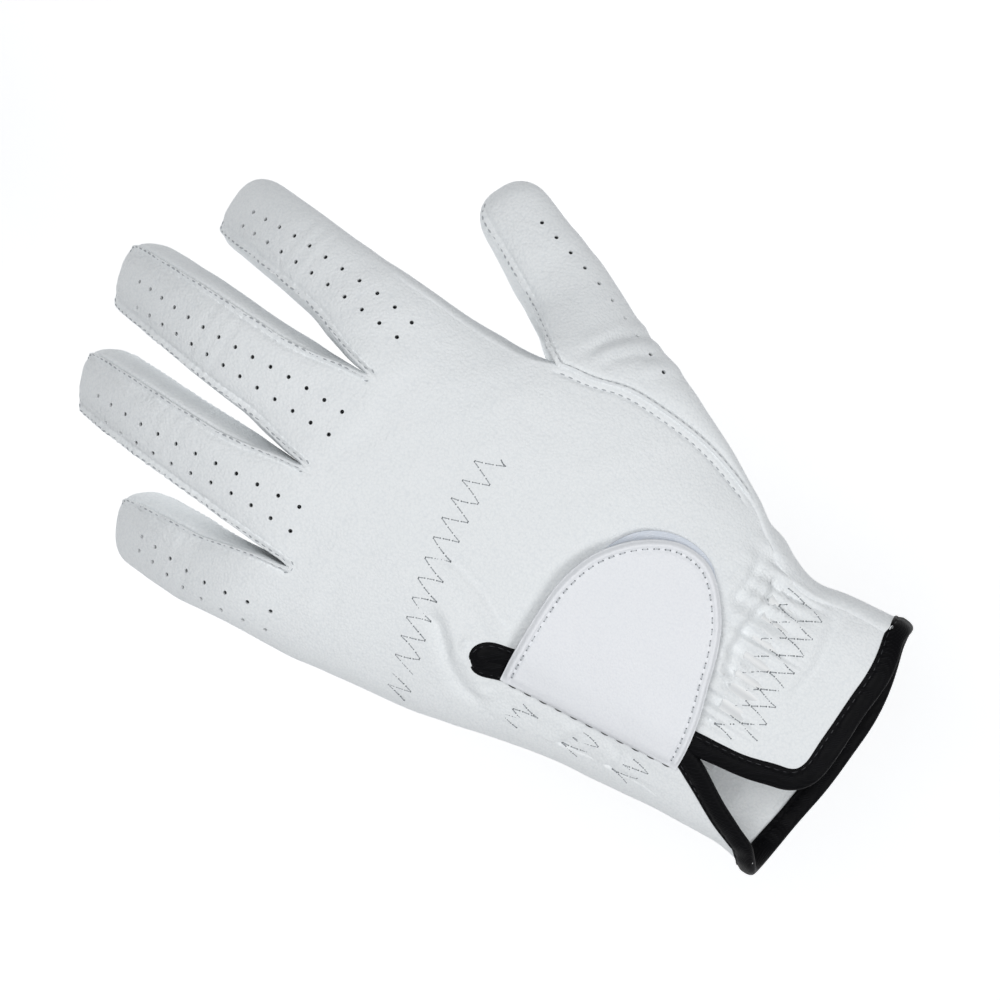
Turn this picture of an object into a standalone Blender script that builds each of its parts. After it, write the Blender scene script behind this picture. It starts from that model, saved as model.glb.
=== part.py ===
"""Left-hand golf glove, filled as if worn, resting palm down on its heel and fingertips.

Axes: +X towards the thumb, +Y towards the fingertips, +Z out of the back of the hand.
Sizes below are in millimetres and become metres when a mesh is made.
The leather is modelled as thin closed shells, cut where the glove bends.
"""
import math

import bmesh
import bpy
import numpy as np

# ---------------------------------------------------------------- driving sizes
MM = 0.001
ORIGIN = np.array([7.6, 23.6, 0])  # middle of the glove's outline, taken as the origin
LEATHER = 0.8            # thickness of a leather shell
SEAM_GAP = 0.35          # clearance between neighbouring solids
CORNER_GAP = 1.2         # a side wall stops this far from the strip it is sewn to
ROUND = 2.5              # how boxy the hand's cross-section is (2 is an ellipse)
CORNER = 38              # where a finger's side wall meets its back and palm, in degrees
MERGE = 22               # length over which a finger leaves the shape of the hand
BINDING_WIDTH = 4.6
BINDING_THICKNESS = 1.8
CUFF_BACK = -83          # cuff edge of the back of the hand
CUFF_PALM = -87          # the palm's cuff edge reaches a little further
EDGE_INSET = BINDING_WIDTH / 2 + SEAM_GAP  # leather stops this far from a binding's middle
WEB_Y = 28               # where the thumb leaves the hand
THUMB_CREST_Y = 17.5     # end of the thumb piece's outer edge
STRIP_COLUMNS = 6        # points across a finger's back or palm strip
TIP_CAP = 1.2            # the tip's leather stops this far before the end of the finger
THUMB_ROOT_Y = -40       # where the thumb piece ends at the wrist

COLOURS = {
    "leather": (0.80, 0.82, 0.84),
    "tab_leather": (0.82, 0.82, 0.85),
    "binding": (0.012, 0.012, 0.014),
    "hook_and_loop": (0.62, 0.68, 0.76),
    "elastic": (0.75, 0.76, 0.76),
}


def through(knots, values, at):
    """A smooth value that passes through (knot, value) pairs."""
    knots, values = np.asarray(knots, float), np.asarray(values, float)
    at = np.clip(at, knots[0], knots[-1])
    slopes = np.gradient(values, knots)
    i = np.clip(np.searchsorted(knots, at) - 1, 0, len(knots) - 2)
    width = knots[i + 1] - knots[i]
    t = (at - knots[i]) / width
    start, end = values[i], values[i + 1]
    pull_in, pull_out = slopes[i] * width, slopes[i + 1] * width
    return ((2 * t**3 - 3 * t**2 + 1) * start + (t**3 - 2 * t**2 + t) * pull_in
            + (3 * t**2 - 2 * t**3) * end + (t**3 - t**2) * pull_out)


def smooth(t):
    t = np.clip(t, 0, 1)
    return t * t * (3 - 2 * t)


# ---------------------------------------------------------------- shape of the hand
# Stations from cuff to finger roots: ulnar side, virtual radial side, middle height,
# rise of the back above it and fall of the palm below it.
STATIONS = [-89, -76, -60, -45, -22, 0, 28, 50, 68, 90]
ULNAR = [-38.5, -37, -38.6, -40.3, -44, -50, -55.6, -59.2, -60.5, -61]
RADIAL = [38.5, 37.5, 35, 40, 50, 58, 50, 42, 41, 41]
MIDDLE = [16.5, 16.5, 17, 18, 19, 21, 25, 28, 29.5, 28]
RISE = [15.5, 16.5, 18, 19.5, 21, 21.5, 19.5, 17, 15, 13]
FALL = [15.5, 16, 17.6, 18.8, 19.8, 18.5, 17, 15, 13.5, 12]
ULNAR_DROOP = 0.05       # the little-finger side hangs lower than the thumb side


def section(y):
    ulnar, radial = through(STATIONS, ULNAR, y), through(STATIONS, RADIAL, y)
    return (ulnar + radial) / 2, (radial - ulnar) / 2, through(STATIONS, MIDDLE, y)


def surface(x, y, side):
    """Height of the back (side 1) or the palm (side -1) at x, y."""
    centre, half, middle = section(y)
    across = np.clip(np.abs((x - centre) / half), 0, 1)
    bulge = (1 - across**ROUND) ** (1 / ROUND)
    reach = through(STATIONS, RISE, y) if side > 0 else -through(STATIONS, FALL, y)
    droop = ULNAR_DROOP * (x - centre) * (1 if side > 0 else 1 - bulge)
    height = middle + reach * bulge + droop
    return np.maximum(height, 0)


def skin(x, y, side, lift=0.0):
    """Point on the hand's surface, raised by lift along its normal."""
    step = 0.5
    z = surface(x, y, side)
    slope_x = (surface(x + step, y, side) - surface(x - step, y, side)) / (2 * step)
    slope_y = (surface(x, y + step, side) - surface(x, y - step, side)) / (2 * step)
    normal = np.array([-slope_x, -slope_y, 1.0]) * side
    normal /= np.linalg.norm(normal)
    return np.array([x, y, z]) + lift * normal


def ulnar_wall(t, y):
    """Rounded little-finger side, t from 0 at the back to 1 at the palm."""
    centre, half, middle = section(y)
    wall = math.radians(through([-72, -50], [12, 30], y))
    angle = math.pi - wall + 2 * wall * t
    x = centre - half * abs(math.cos(angle)) ** (2 / ROUND)
    side = 1 if t < 0.5 else -1
    z = float(surface(x, y, side))
    return np.array([float(x), y, z])


def back_edge(y):
    """Where the back meets the thumb seam, the palm's side wall or the wrist's side."""
    return through([-89, -66, -58, -50, -42, -34, -21, 0, 11, 19, 28, 34, 45, 66],
                   [31.3, 29.5, 27.7, 29, 33, 38, 43, 45.4, 44.7, 42.1, 40.3, 37.6, 36, 36], y)


def palm_edge(y):
    return through([-89, -66, -58, -50, -42, -30, -15, 0, 13, 22, 28, 34, 45, 66],
                   [30, 28.5, 27, 28, 31, 27, 22.5, 21, 24, 31, 39, 37, 35.5, 35.5], y)


def outline(y):
    """Furthest reach of the thumb side, seen from above."""
    return through([-89, -74, -66, -58, -50, -45, THUMB_ROOT_Y, 27.9, 28, 34, 45, 66],
                   [36.5, 35, 33.9, 32.4, 33.3, 36, 37.5, 41, 41, 39.6, 38.6, 38.6], y)


def bulged(back, palm, crest, t):
    """Curve from back to palm whose middle reaches crest."""
    push = (crest - (back + palm) / 2) / 0.75
    return ((1 - t)**3 * back + 3 * (1 - t)**2 * t * (back + push)
            + 3 * (1 - t) * t**2 * (palm + push) + t**3 * palm)


def radial_wall(t, y):
    back = skin(back_edge(y), y, 1)
    palm = skin(palm_edge(y), y, -1)
    crest = np.array([outline(y), y, (back[2] + palm[2]) / 2])
    return bulged(back, palm, crest, t)


def thumb_base(t, r):
    """Thumb piece between the wrist (r 0) and the thumb's web (r 1), round the outside."""
    y = THUMB_ROOT_Y + r * (WEB_Y - THUMB_ROOT_Y)
    crest_y = THUMB_ROOT_Y + r * (THUMB_CREST_Y - THUMB_ROOT_Y)
    crest_x = through([-40, -29, -20, -8.6, 1.4, 11.4, 17.5], [37.5, 41, 45.7, 51.4, 56.1, 60.7, 63], crest_y)
    crest_z = 18 + 3 * r
    back = skin(back_edge(y), y, 1)
    palm = skin(palm_edge(y), y, -1)
    return bulged(back, palm, np.array([crest_x, crest_y, crest_z]), t)


# ---------------------------------------------------------------- fingers and thumb
class Digit:
    """A tapered tube round a curved centre line, merging into the hand at its root."""

    def __init__(self, name, root, tip, pitch, width, depth, roll, crotches, walls, zones):
        self.name, self.roll, self.walls, self.zones = name, roll, walls, zones
        self.width, self.depth = width, depth
        self.ulnar_crotch, self.radial_crotch = crotches
        root, tip = np.array(root, float), np.array(tip, float)
        plan = np.array([tip[0] - root[0], tip[1] - root[1], 0])
        plan /= np.linalg.norm(plan)
        chord = np.linalg.norm(tip - root)
        first, last = [plan * math.cos(math.radians(p)) - np.array([0, 0, math.sin(math.radians(p))])
                       for p in pitch]
        controls = [root, root + first * chord / 3, tip - last * chord / 3, tip]
        t = np.linspace(0, 1, 200)[:, None]
        self.line = ((1 - t)**3 * controls[0] + 3 * (1 - t)**2 * t * controls[1]
                     + 3 * (1 - t) * t**2 * controls[2] + t**3 * controls[3])
        steps = np.linalg.norm(np.diff(self.line, axis=0), axis=1)
        self.along = np.concatenate([[0], np.cumsum(steps)])
        self.length = self.along[-1]
        self.root = root
        self.plan = plan

    def frame(self, s):
        """Centre, side direction and up direction at s millimetres from the root."""
        inside = min(max(s, 0), self.length)
        centre = np.array([np.interp(inside, self.along, self.line[:, k]) for k in range(3)])
        ahead = np.array([np.interp(inside + 1, self.along, self.line[:, k]) for k in range(3)])
        behind = np.array([np.interp(inside - 1, self.along, self.line[:, k]) for k in range(3)])
        tangent = (ahead - behind) / np.linalg.norm(ahead - behind)
        centre = centre + tangent * (s - inside)
        side = np.cross(tangent, [0, 0, 1])
        side /= np.linalg.norm(side)
        up = np.cross(side, tangent)
        turn = math.radians(np.interp(s, [0, self.length], self.roll))
        return (centre, side * math.cos(turn) - up * math.sin(turn),
                up * math.cos(turn) + side * math.sin(turn))

    def ring(self, s, angle):
        """Point on the tube's skin; angle 0 is the thumb side and 90 the back."""
        centre, side, up = self.frame(s)
        thirds = [0, self.length * 0.5, self.length]
        half_width = np.interp(s, thirds, self.width) * self.closing(s, 9.5)
        half_depth = np.interp(s, thirds, self.depth) * self.closing(s, 8)
        c, v = math.cos(math.radians(angle)), math.sin(math.radians(angle))
        return (centre + side * half_width * math.copysign(abs(c) ** 0.72, c)
                + up * half_depth * math.copysign(abs(v) ** 0.72, v))

    def closing(self, s, radius):
        """Rounds the fingertip off."""
        past = max(0, s - (self.length - radius)) / radius
        return max(0.02, 1 - past**2.4) ** (1 / 2.4)

    def angle(self, arc, q):
        starts = {"back": 180 - CORNER, "radial": CORNER, "palm": 360 - CORNER, "ulnar": 180 + CORNER}
        spans = {"back": 2 * CORNER - 180, "radial": -2 * CORNER, "palm": 2 * CORNER - 180, "ulnar": -2 * CORNER}
        return starts[arc] + spans[arc] * q

    def start(self, arc, q):
        """How far behind the root line a strip begins (the crotches differ in height)."""
        share = {"back": q, "radial": 1, "palm": 1 - q, "ulnar": 0}[arc]
        return self.ulnar_crotch[1] * (1 - share) + self.radial_crotch[1] * share - self.root[1]

    def on_hand(self, arc, q, s):
        """The hand's own shape, carried forward past the finger's root."""
        y = self.root[1] + s
        left = self.ulnar_crotch[0] if self.walls[0] == "inner" else float(ulnar_wall(0, y)[0])
        right = self.radial_crotch[0] if self.walls[1] == "inner" else float(back_edge(y))
        if self.walls[0] == "inner":
            left += 0.3
        if self.walls[1] == "inner":
            right -= 0.3
        corner = {"back": skin(left + (right - left) * q, y, 1),
                  "palm": skin(right + (left - right) * q, y, -1)}
        if arc in corner:
            return corner[arc]
        if arc == "radial" and self.walls[1] == "outer":
            return radial_wall(q, y)
        if arc == "ulnar" and self.walls[0] == "outer":
            return ulnar_wall(1 - q, y)
        x = right if arc == "radial" else left
        top, bottom = skin(x, y, 1), skin(x, y, -1)
        return top + (bottom - top) * (q if arc == "radial" else 1 - q)

    def point(self, arc, q, s):
        begin = self.start(arc, q)
        weight = smooth((s - begin) / (MERGE - begin))
        tube = self.ring(s, self.angle(arc, q))
        if weight >= 1:
            return tube
        return (1 - weight) * self.on_hand(arc, q, s) + weight * tube


class Thumb(Digit):
    """The thumb grows out of the thumb base instead of the row of knuckles."""

    def start(self, arc, q):
        return 0.0

    def on_hand(self, arc, q, s):
        spans = {"back": (0.0, 0.35), "radial": (0.35, 0.65), "palm": (0.65, 1.0)}
        push = self.plan * s - np.array([0, 0, 0.12 * s])
        if arc == "ulnar":
            return thumb_base(1.0, 1.0) * (1 - q) + thumb_base(0.0, 1.0) * q + push
        low, high = spans[arc]
        return thumb_base(low + (high - low) * q, 1.0) + push


LITTLE_CROTCH, RING_CROTCH, MIDDLE_CROTCH = (-40.5, 56.5), (-17.2, 67.4), (10.8, 66.5)
# Shares of a digit's length where its two bends start and end.
FINGER_ZONES = (0.03, 0.22, 0.34, 0.58)
THUMB_ZONES = (0.04, 0.27, 0.38, 0.66)

DIGITS = [
    Digit("index", (26, 66.5, 32), (30, 118.5, 3.2), (2, 56), (11.8, 10.3, 9.6), (9.8, 8.6, 7.2), (4, -6),
          (MIDDLE_CROTCH, (38.5, 66.5)), ("inner", "outer"), FINGER_ZONES),
    Digit("middle", (-2.8, 67.4, 33.5), (0.3, 133, 3.2), (-2, 56), (12.4, 10.8, 9.8), (10, 8.8, 7.4), (-8, -22),
          (RING_CROTCH, MIDDLE_CROTCH), ("inner", "inner"), FINGER_ZONES),
    Digit("ring", (-28, 67.4, 31.5), (-27.5, 126.5, 3.2), (-2, 55), (11, 10, 9.2), (9.6, 8.4, 7.2), (-14, -28),
          (LITTLE_CROTCH, RING_CROTCH), ("inner", "inner"), FINGER_ZONES),
    Digit("little", (-50.5, 56.5, 27), (-53, 97, 3), (2, 54), (9.6, 9.2, 8.4), (8.8, 7.8, 6.8), (-14, -28),
          ((-60.5, 56.5), LITTLE_CROTCH), ("outer", "inner"), FINGER_ZONES),
    Thumb("thumb", (52, 21.5, 21), (70, 63, 9.5), (6, 24), (12.2, 10.6, 9.4), (11, 9.2, 7.8), (20, 34),
          ((40.3, 28), (63, 17.5)), ("inner", "outer"), THUMB_ZONES),
]


# ---------------------------------------------------------------- making solids
def clear_scene():
    for old in list(bpy.data.objects):
        bpy.data.objects.remove(old, do_unlink=True)


def make_materials():
    made = {}
    for name, colour in COLOURS.items():
        material = bpy.data.materials.new(name)
        material.use_nodes = True
        shader = material.node_tree.nodes["Principled BSDF"]
        shader.inputs["Base Color"].default_value = (*colour, 1)
        shader.inputs["Roughness"].default_value = 0.6
        shader.inputs["Metallic"].default_value = 0.0
        made[name] = material
    return made


def hand_core(point):
    """A point in the middle of the hand, level with this one."""
    return np.array([point[0], point[1], float(section(point[1])[2])])


def outwards(rows, cores):
    """Whether the grid's faces look away from the core of the hand or digit."""
    total = 0.0
    for r in range(len(rows) - 1):
        for c in range(len(rows[r]) - 1):
            normal = np.cross(rows[r][c + 1] - rows[r][c], rows[r + 1][c] - rows[r][c])
            total += normal @ (rows[r][c] - cores[r])
    return total > 0


def shell(name, rows, material, thickness=LEATHER, ring=False, hole=None, cores=None):
    """Leather shell: a grid of outer points, given thickness towards the inside."""
    if cores is None:
        cores = [hand_core(np.mean(row, axis=0)) for row in rows]
    mesh = bpy.data.meshes.new(name)
    work = bmesh.new()
    verts = [[work.verts.new((point - ORIGIN) * MM) for point in row] for row in rows]
    keep = outwards(rows, cores)
    for r in range(len(rows) - 1):
        count = len(rows[r])
        for c in range(count if ring else count - 1):
            if hole and hole(r, c):
                continue
            d = (c + 1) % count
            corners = (verts[r][c], verts[r][d], verts[r + 1][d], verts[r + 1][c])
            work.faces.new(corners if keep else corners[::-1])
    loose = [v for v in work.verts if not v.link_faces]
    bmesh.ops.delete(work, geom=loose, context="VERTS")
    work.to_mesh(mesh)
    work.free()
    piece = bpy.data.objects.new(name, mesh)
    GLOVE.objects.link(piece)
    piece.data.materials.append(MATERIALS[material])
    solid = piece.modifiers.new("thickness", "SOLIDIFY")
    solid.thickness = thickness * MM
    solid.offset = -1
    solid.use_even_offset = False
    return piece


def digit_ring(digit, start, end, rows, name):
    """A full ring of leather between two stations: the part that bends."""
    grid = []
    for s in np.linspace(start, end, rows):
        ring = []
        for arc, count in (("back", 5), ("radial", 3), ("palm", 5), ("ulnar", 3)):
            for q in np.linspace(0, 1, count + 1)[:-1]:
                behind = digit.start(arc, q) if start < 3 else 0
                ring.append(digit.point(arc, q, s + behind * (end - s) / (end - start)))
        grid.append(ring)
    return shell(name, grid, "leather", ring=True, cores=[np.mean(ring, axis=0) for ring in grid])


def digit_cores(digit, start, end, count):
    return [digit.frame(s)[0] for s in np.linspace(start, end, count)]


def digit_strip(digit, arc, start, end, rows, columns, name, low, high):
    grid = [[digit.point(arc, q, s) for q in np.linspace(low, high, columns)]
            for s in np.linspace(start, end, rows)]
    return shell(name, grid, "leather", cores=digit_cores(digit, start, end, len(grid)))


def digit_segment(digit, part, start, end, rows, tip):
    """Back strip, palm strip and the fourchettes between them."""
    name = digit.name + "_" + part
    trim = CORNER_GAP / (2 * digit.depth[1] * 0.9)
    pieces = {"back": ("ulnar", "radial"), "palm": ("radial", "ulnar")}
    for arc in ("back", "palm"):
        wraps = [digit.walls[1 if side == "radial" else 0] == "outer" for side in pieces[arc]]
        grid = []
        last_s = end if arc == "back" else end - (1.3 if tip else 0)
        for s in np.linspace(start, last_s, rows):
            row = [digit.point(arc, q, s) for q in np.linspace(0, 1, STRIP_COLUMNS)]
            half = np.linspace(trim / 3, 0.5 - trim / 3, 3)
            if wraps[0]:
                side = pieces[arc][0]
                row = [digit.point(side, 1 - q, s) for q in half[::-1]] + row
            if wraps[1]:
                side = pieces[arc][1]
                row = row + [digit.point(side, q, s) for q in half]
            grid.append(row)
        if tip and arc == "back":
            last = grid[-1]
            middle = np.mean(last, axis=0)
            under = digit.point("palm", 0.5, end)
            grid.append([point + (under - middle) * 0.3 for point in last])
        shell(name + "_" + arc, grid, "leather", cores=digit_cores(digit, start, end, len(grid)))
    for side, wall in (("ulnar", digit.walls[0]), ("radial", digit.walls[1])):
        if wall == "inner":
            label = "_inner_side" if digit.name == "thumb" else "_" + side + "_fourchette"
            digit_strip(digit, side, start, end - (2 if tip else 0), rows, 3, name + label, trim, 1 - trim)


def make_digit(digit):
    first, second, third, fourth = [share * digit.length for share in digit.zones]
    digit_ring(digit, max(first, 2.5), second, 5, digit.name + "_base_bend")
    digit_segment(digit, "lower", second + SEAM_GAP, third - SEAM_GAP, 3, tip=False)
    digit_ring(digit, third, fourth, 5, digit.name + "_middle_bend")
    digit_segment(digit, "tip", fourth + SEAM_GAP, digit.length - TIP_CAP, 8, tip=True)


# ---------------------------------------------------------------- the hand's panels
SLIT_TOP = 7.6           # top of the keyhole, with its binding
KEYHOLE = (-30.4, 0.6)   # centre of the slit's rounded end
KEYHOLE_HALF = (3.4, 3.6)


def slit_arm(y, side):
    """Middle of the binding on the ulnar (-1) or thumb (1) side of the slit."""
    if side < 0:
        return through([-83, -75, -60, -50, -20, 0], [-33.4, -32, -29.3, -27.2, -31.4, -33.8], y)
    return through([-83, -77, -70, -60, -50, -20, 0], [-12.5, -15, -17, -18.6, -20.2, -24.6, -27], y)


def front_line(x):
    """Where the hand's panels end and the fingers begin."""
    knots = [-61, -50, LITTLE_CROTCH[0], RING_CROTCH[0], MIDDLE_CROTCH[0], 40]
    return np.interp(x, knots, [56.5, 56.5, 56.5, 67.4, 66.5, 66.5])


def back_panel():
    """Back of the hand, with the slit and its keyhole cut out."""
    slit_low, slit_high, columns = 6, 8, 16
    wall_columns = (0.48, 0.25)
    rows = []
    shares = np.concatenate([np.linspace(CUFF_BACK + EDGE_INSET, SLIT_TOP, 13), np.linspace(16, 64, 7)])
    for y_share in shares:
        row = [ulnar_wall(t, min(y_share, front_line(-61) - 1)) for t in wall_columns]
        left, right = float(ulnar_wall(0, y_share)[0]), float(back_edge(y_share)) - 1.0
        even = np.linspace(left, right, columns)
        arm_y = min(y_share, 0)
        slit = (slit_arm(arm_y, -1) - EDGE_INSET, slit_arm(arm_y, 1) + EDGE_INSET)
        opened = smooth((20 - y_share) / 12)
        knots = (even[slit_low] * (1 - opened) + slit[0] * opened,
                 even[slit_high] * (1 - opened) + slit[1] * opened)
        even = np.interp(np.arange(columns), [0, slit_low, slit_high, columns - 1],
                         [left, knots[0], knots[1], right])
        for x in even:
            limit = front_line(x) - 0.3 if y_share > 60 else y_share
            y = limit if y_share == shares[-1] else min(y_share, front_line(x) - 6)
            row.append(skin(float(x), float(y), 1))
        rows.append(row)
    first = len(wall_columns) + slit_low
    last = len(wall_columns) + slit_high
    return shell("back_panel", rows, "leather",
                 hole=lambda r, c: shares[r + 1] <= SLIT_TOP and first <= c < last)


def palm_panel():
    rows = []
    wrist = np.linspace(CUFF_PALM + EDGE_INSET, -62, 3)
    stations = np.concatenate([wrist, np.linspace(-58, 28, 9), np.linspace(36, 64, 4)])
    for station in stations:
        row = [ulnar_wall(t, min(station, front_line(-61) - 1)) for t in (0.52, 0.75)]
        left, right = float(ulnar_wall(1, station)[0]), float(palm_edge(station)) - 1.0
        for x in np.linspace(left, right, 10):
            y = front_line(x) - 0.3 if station == stations[-1] else min(station, front_line(x) - 5)
            row.append(skin(float(x), float(y), -1))
        rows.append(row[::-1])
    return shell("palm_panel", rows, "leather")


def side_panels():
    """Thumb base, the leather wrapped round the index side and the wrist's side."""
    around = np.linspace(0.04, 0.96, 8)
    shell("index_side_wrap", [[radial_wall(t, y) for t in around] for y in np.linspace(29, 66, 5)], "leather")
    shell("wrist_side", [[radial_wall(t, y) for t in around]
                         for y in np.linspace(CUFF_BACK + 1, THUMB_ROOT_Y - 0.6, 5)], "leather")
    rows = [[thumb_base(t, r) for t in np.linspace(0.03, 0.97, 11)] for r in np.linspace(0.0, 1, 9)]
    shell("thumb_base", rows, "leather", cores=[(row[0] + row[-1]) / 2 for row in rows])


def ribbon(name, path, width, thickness, material, lifts):
    """A flat strip along a path; each path point is (x, y, side of the hand)."""
    points = [skin(x, y, side, lifts) for x, y, side in path]
    rows = []
    for k, point in enumerate(points):
        ahead = points[min(k + 1, len(points) - 1)] - points[max(k - 1, 0)]
        x, y, side = path[k]
        normal = skin(x, y, side, 1.0) - skin(x, y, side, 0.0)
        across = np.cross(ahead, normal)
        across *= width / 2 / np.linalg.norm(across)
        rows.append([point + across, point, point - across])
    return shell(name, rows, material, thickness)


def slit_binding():
    """Black fabric binding: up one edge of the slit, round the keyhole, down the other."""
    path = [(float(slit_arm(y, -1)), y, 1) for y in np.linspace(-78, -2, 14)]
    for degrees in np.linspace(180, 0, 7)[1:-1]:
        turn = math.radians(degrees)
        x = KEYHOLE[0] + KEYHOLE_HALF[0] * math.cos(turn)
        path.append((x, KEYHOLE[1] + KEYHOLE_HALF[1] * math.sin(turn), 1))
    path += [(float(slit_arm(y, 1)), y, 1) for y in np.linspace(-2, -78, 14)]
    ribbon("slit_binding", path, BINDING_WIDTH, BINDING_THICKNESS, "binding", 0.6)


def cuff_bindings():
    back = [(x, CUFF_BACK, 1) for x in np.linspace(-8, float(back_edge(CUFF_BACK)) - 1, 8)]
    ribbon("cuff_binding_back", back, BINDING_WIDTH, BINDING_THICKNESS, "binding", 0.6)
    palm = [(x, CUFF_PALM, -1) for x in np.linspace(-33, float(palm_edge(CUFF_PALM)) + 1, 12)]
    ribbon("cuff_binding_palm", palm, BINDING_WIDTH, BINDING_THICKNESS, "binding", 0.3)


def elastics():
    """Narrow elastic tapes sewn inside by the zigzag rows."""
    inside = -(LEATHER + SEAM_GAP)
    back = [(x, float(np.interp(x, [-48, -21, 12], [17, 22.5, 27])), 1) for x in np.linspace(-44, 12, 8)]
    ribbon("back_elastic", back, 7, 0.8, "elastic", inside)
    wrist = [(x, float(np.interp(x, [-12, 26], [-61, -55])), 1) for x in np.linspace(-11, 24, 6)]
    ribbon("wrist_elastic_back", wrist, 12, 0.8, "elastic", inside)
    palm = [(x, -58.0, -1) for x in np.linspace(-24, 22, 6)]
    ribbon("wrist_elastic_palm", palm, 12, 0.8, "elastic", inside)


def tab_edge(x, side):
    """Top (1) and bottom (-1) edges of the closure tab."""
    if side > 0:
        return through([-33, -20, -5, 2, 8, 13, 17, 19.4], [-4, -3.2, -3.6, -5, -8.2, -12.8, -18.6, -25], x)
    return through([-33, -15, -5, 2, 8, 13, 17, 19.4], [-54, -50.6, -48.6, -46.6, -43.2, -38, -31.6, -25.5], x)


TAB_REACH = 19.2         # furthest point of the tab
TAB_BASE = (-32.4, -27)  # x of its base at the top and at the bottom
HOOK_INSET = 5           # the hook patch stops this far inside the tab's edge
LOOP_SHIFT = 2.2         # the loop patch shows past the tab's rounded end


def tab_layer(name, material, thickness, lift, inset=0.0, start=0.0):
    """One layer of the closure tab: a D shape laid over the back of the hand."""
    rows = []
    for share in np.sin(np.linspace(start, 1, 9) * math.pi / 2):
        reach = TAB_REACH - inset
        row = []
        for t in np.linspace(0, 1, 7):
            base_x = TAB_BASE[0] + (TAB_BASE[1] - TAB_BASE[0]) * t
            x = base_x + (reach - base_x) * share
            top, low = tab_edge(x, 1) - inset, tab_edge(x, -1) + inset
            y = top + (low - top) * t
            row.append(skin(float(x), float(y), 1, lift))
        rows.append(row)
    return shell(name, rows, material, thickness)


def closure():
    tab_layer("tab_leather", "tab_leather", 1.2, 4.2)
    tab_layer("tab_hook_patch", "hook_and_loop", 0.8, 2.6, HOOK_INSET, start=0.5)
    rows = []
    for x in np.linspace(-9, TAB_REACH + LOOP_SHIFT, 7):
        edge = min(x - LOOP_SHIFT, 19)
        top, low = float(tab_edge(edge, 1)) + 1.5, float(tab_edge(edge, -1)) + 4
        rows.append([skin(float(x), float(y), 1, 1.4) for y in np.linspace(low, top, 7)])
    shell("loop_patch", rows, "hook_and_loop", 0.8)


clear_scene()
GLOVE = bpy.data.collections.new("golf_glove")
bpy.context.scene.collection.children.link(GLOVE)
MATERIALS = make_materials()
back_panel()
palm_panel()
side_panels()
slit_binding()
cuff_bindings()
elastics()
closure()
for finger in DIGITS:
    make_digit(finger)
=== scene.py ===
import math

import bmesh
import bpy
import numpy as np
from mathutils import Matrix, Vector
from mathutils.kdtree import KDTree


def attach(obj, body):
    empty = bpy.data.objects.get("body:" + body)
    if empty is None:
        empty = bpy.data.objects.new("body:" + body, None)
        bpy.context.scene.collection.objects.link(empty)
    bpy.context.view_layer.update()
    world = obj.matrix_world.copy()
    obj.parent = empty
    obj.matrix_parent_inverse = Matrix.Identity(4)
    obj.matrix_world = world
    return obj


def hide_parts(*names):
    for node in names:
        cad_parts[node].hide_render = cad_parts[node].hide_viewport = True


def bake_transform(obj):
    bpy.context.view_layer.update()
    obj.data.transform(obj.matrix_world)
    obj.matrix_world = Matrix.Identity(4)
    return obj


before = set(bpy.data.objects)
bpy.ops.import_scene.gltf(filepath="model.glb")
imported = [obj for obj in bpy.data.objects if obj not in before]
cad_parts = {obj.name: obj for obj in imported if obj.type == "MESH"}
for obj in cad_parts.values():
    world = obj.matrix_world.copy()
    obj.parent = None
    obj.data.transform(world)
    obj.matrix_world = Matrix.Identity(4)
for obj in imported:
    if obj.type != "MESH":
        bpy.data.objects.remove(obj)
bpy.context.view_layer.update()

# ---------------------------------------------------------------- camera, light and floor
# A long lens looks straight down on the back of the hand and is rolled so that the
# fingers point to the upper left. The glove hangs in white light, so the floor lies
# well below it, where it takes no shadow and a bent finger can't touch it.
FIELD = 0.255            # width of the view at the glove
LENS = 150
AIM = Vector((-0.0035, -0.0024, 0.027))
ROLL = math.radians(-56)



def added(name, data):
    """A new object in the scene."""
    made = bpy.data.objects.new(name, data)
    bpy.context.scene.collection.objects.link(made)
    return made


camera_data = bpy.data.cameras.new("camera")
camera_data.lens = LENS
camera_data.clip_end = 20
camera = added("camera", camera_data)
camera.location = AIM + Vector((0, 0, FIELD * LENS / camera_data.sensor_width))
camera.rotation_euler = (0, 0, ROLL)
bpy.context.scene.camera = camera
bpy.context.scene.view_settings.view_transform = "Standard"  # keeps white paper white


def softbox(name, place, size, watts, colour=(1, 1, 1)):
    """A square area light aimed at the glove."""
    data = bpy.data.lights.new(name, "AREA")
    data.shape, data.size, data.energy, data.color = "SQUARE", size, watts, colour
    lamp = added(name, data)
    lamp.location = place
    lamp.rotation_euler = (AIM - Vector(place)).to_track_quat("-Z", "Y").to_euler()


softbox("wrist_softbox", (0.0, -0.8, 0.95), 0.45, 4.3)
softbox("overhead_softbox", (0.0, 0.4, 1.55), 0.8, 10.6)
softbox("side_softbox", (-0.95, -0.2, 0.7), 0.7, 1.2, (0.95, 0.975, 1.0))

world = bpy.data.worlds.new("studio_white")
world.use_nodes = True
world.node_tree.nodes["Background"].inputs["Color"].default_value = (0.93, 0.96, 1.0, 1)
world.node_tree.nodes["Background"].inputs["Strength"].default_value = 0.25
bpy.context.scene.world = world


def linear(code):
    """sRGB hex to the linear colour that a shader takes."""
    parts = [int(code[i:i + 2], 16) / 255 for i in (1, 3, 5)]
    return [*(p / 12.92 if p <= 0.04045 else ((p + 0.055) / 1.055) ** 2.4 for p in parts), 1]


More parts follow.
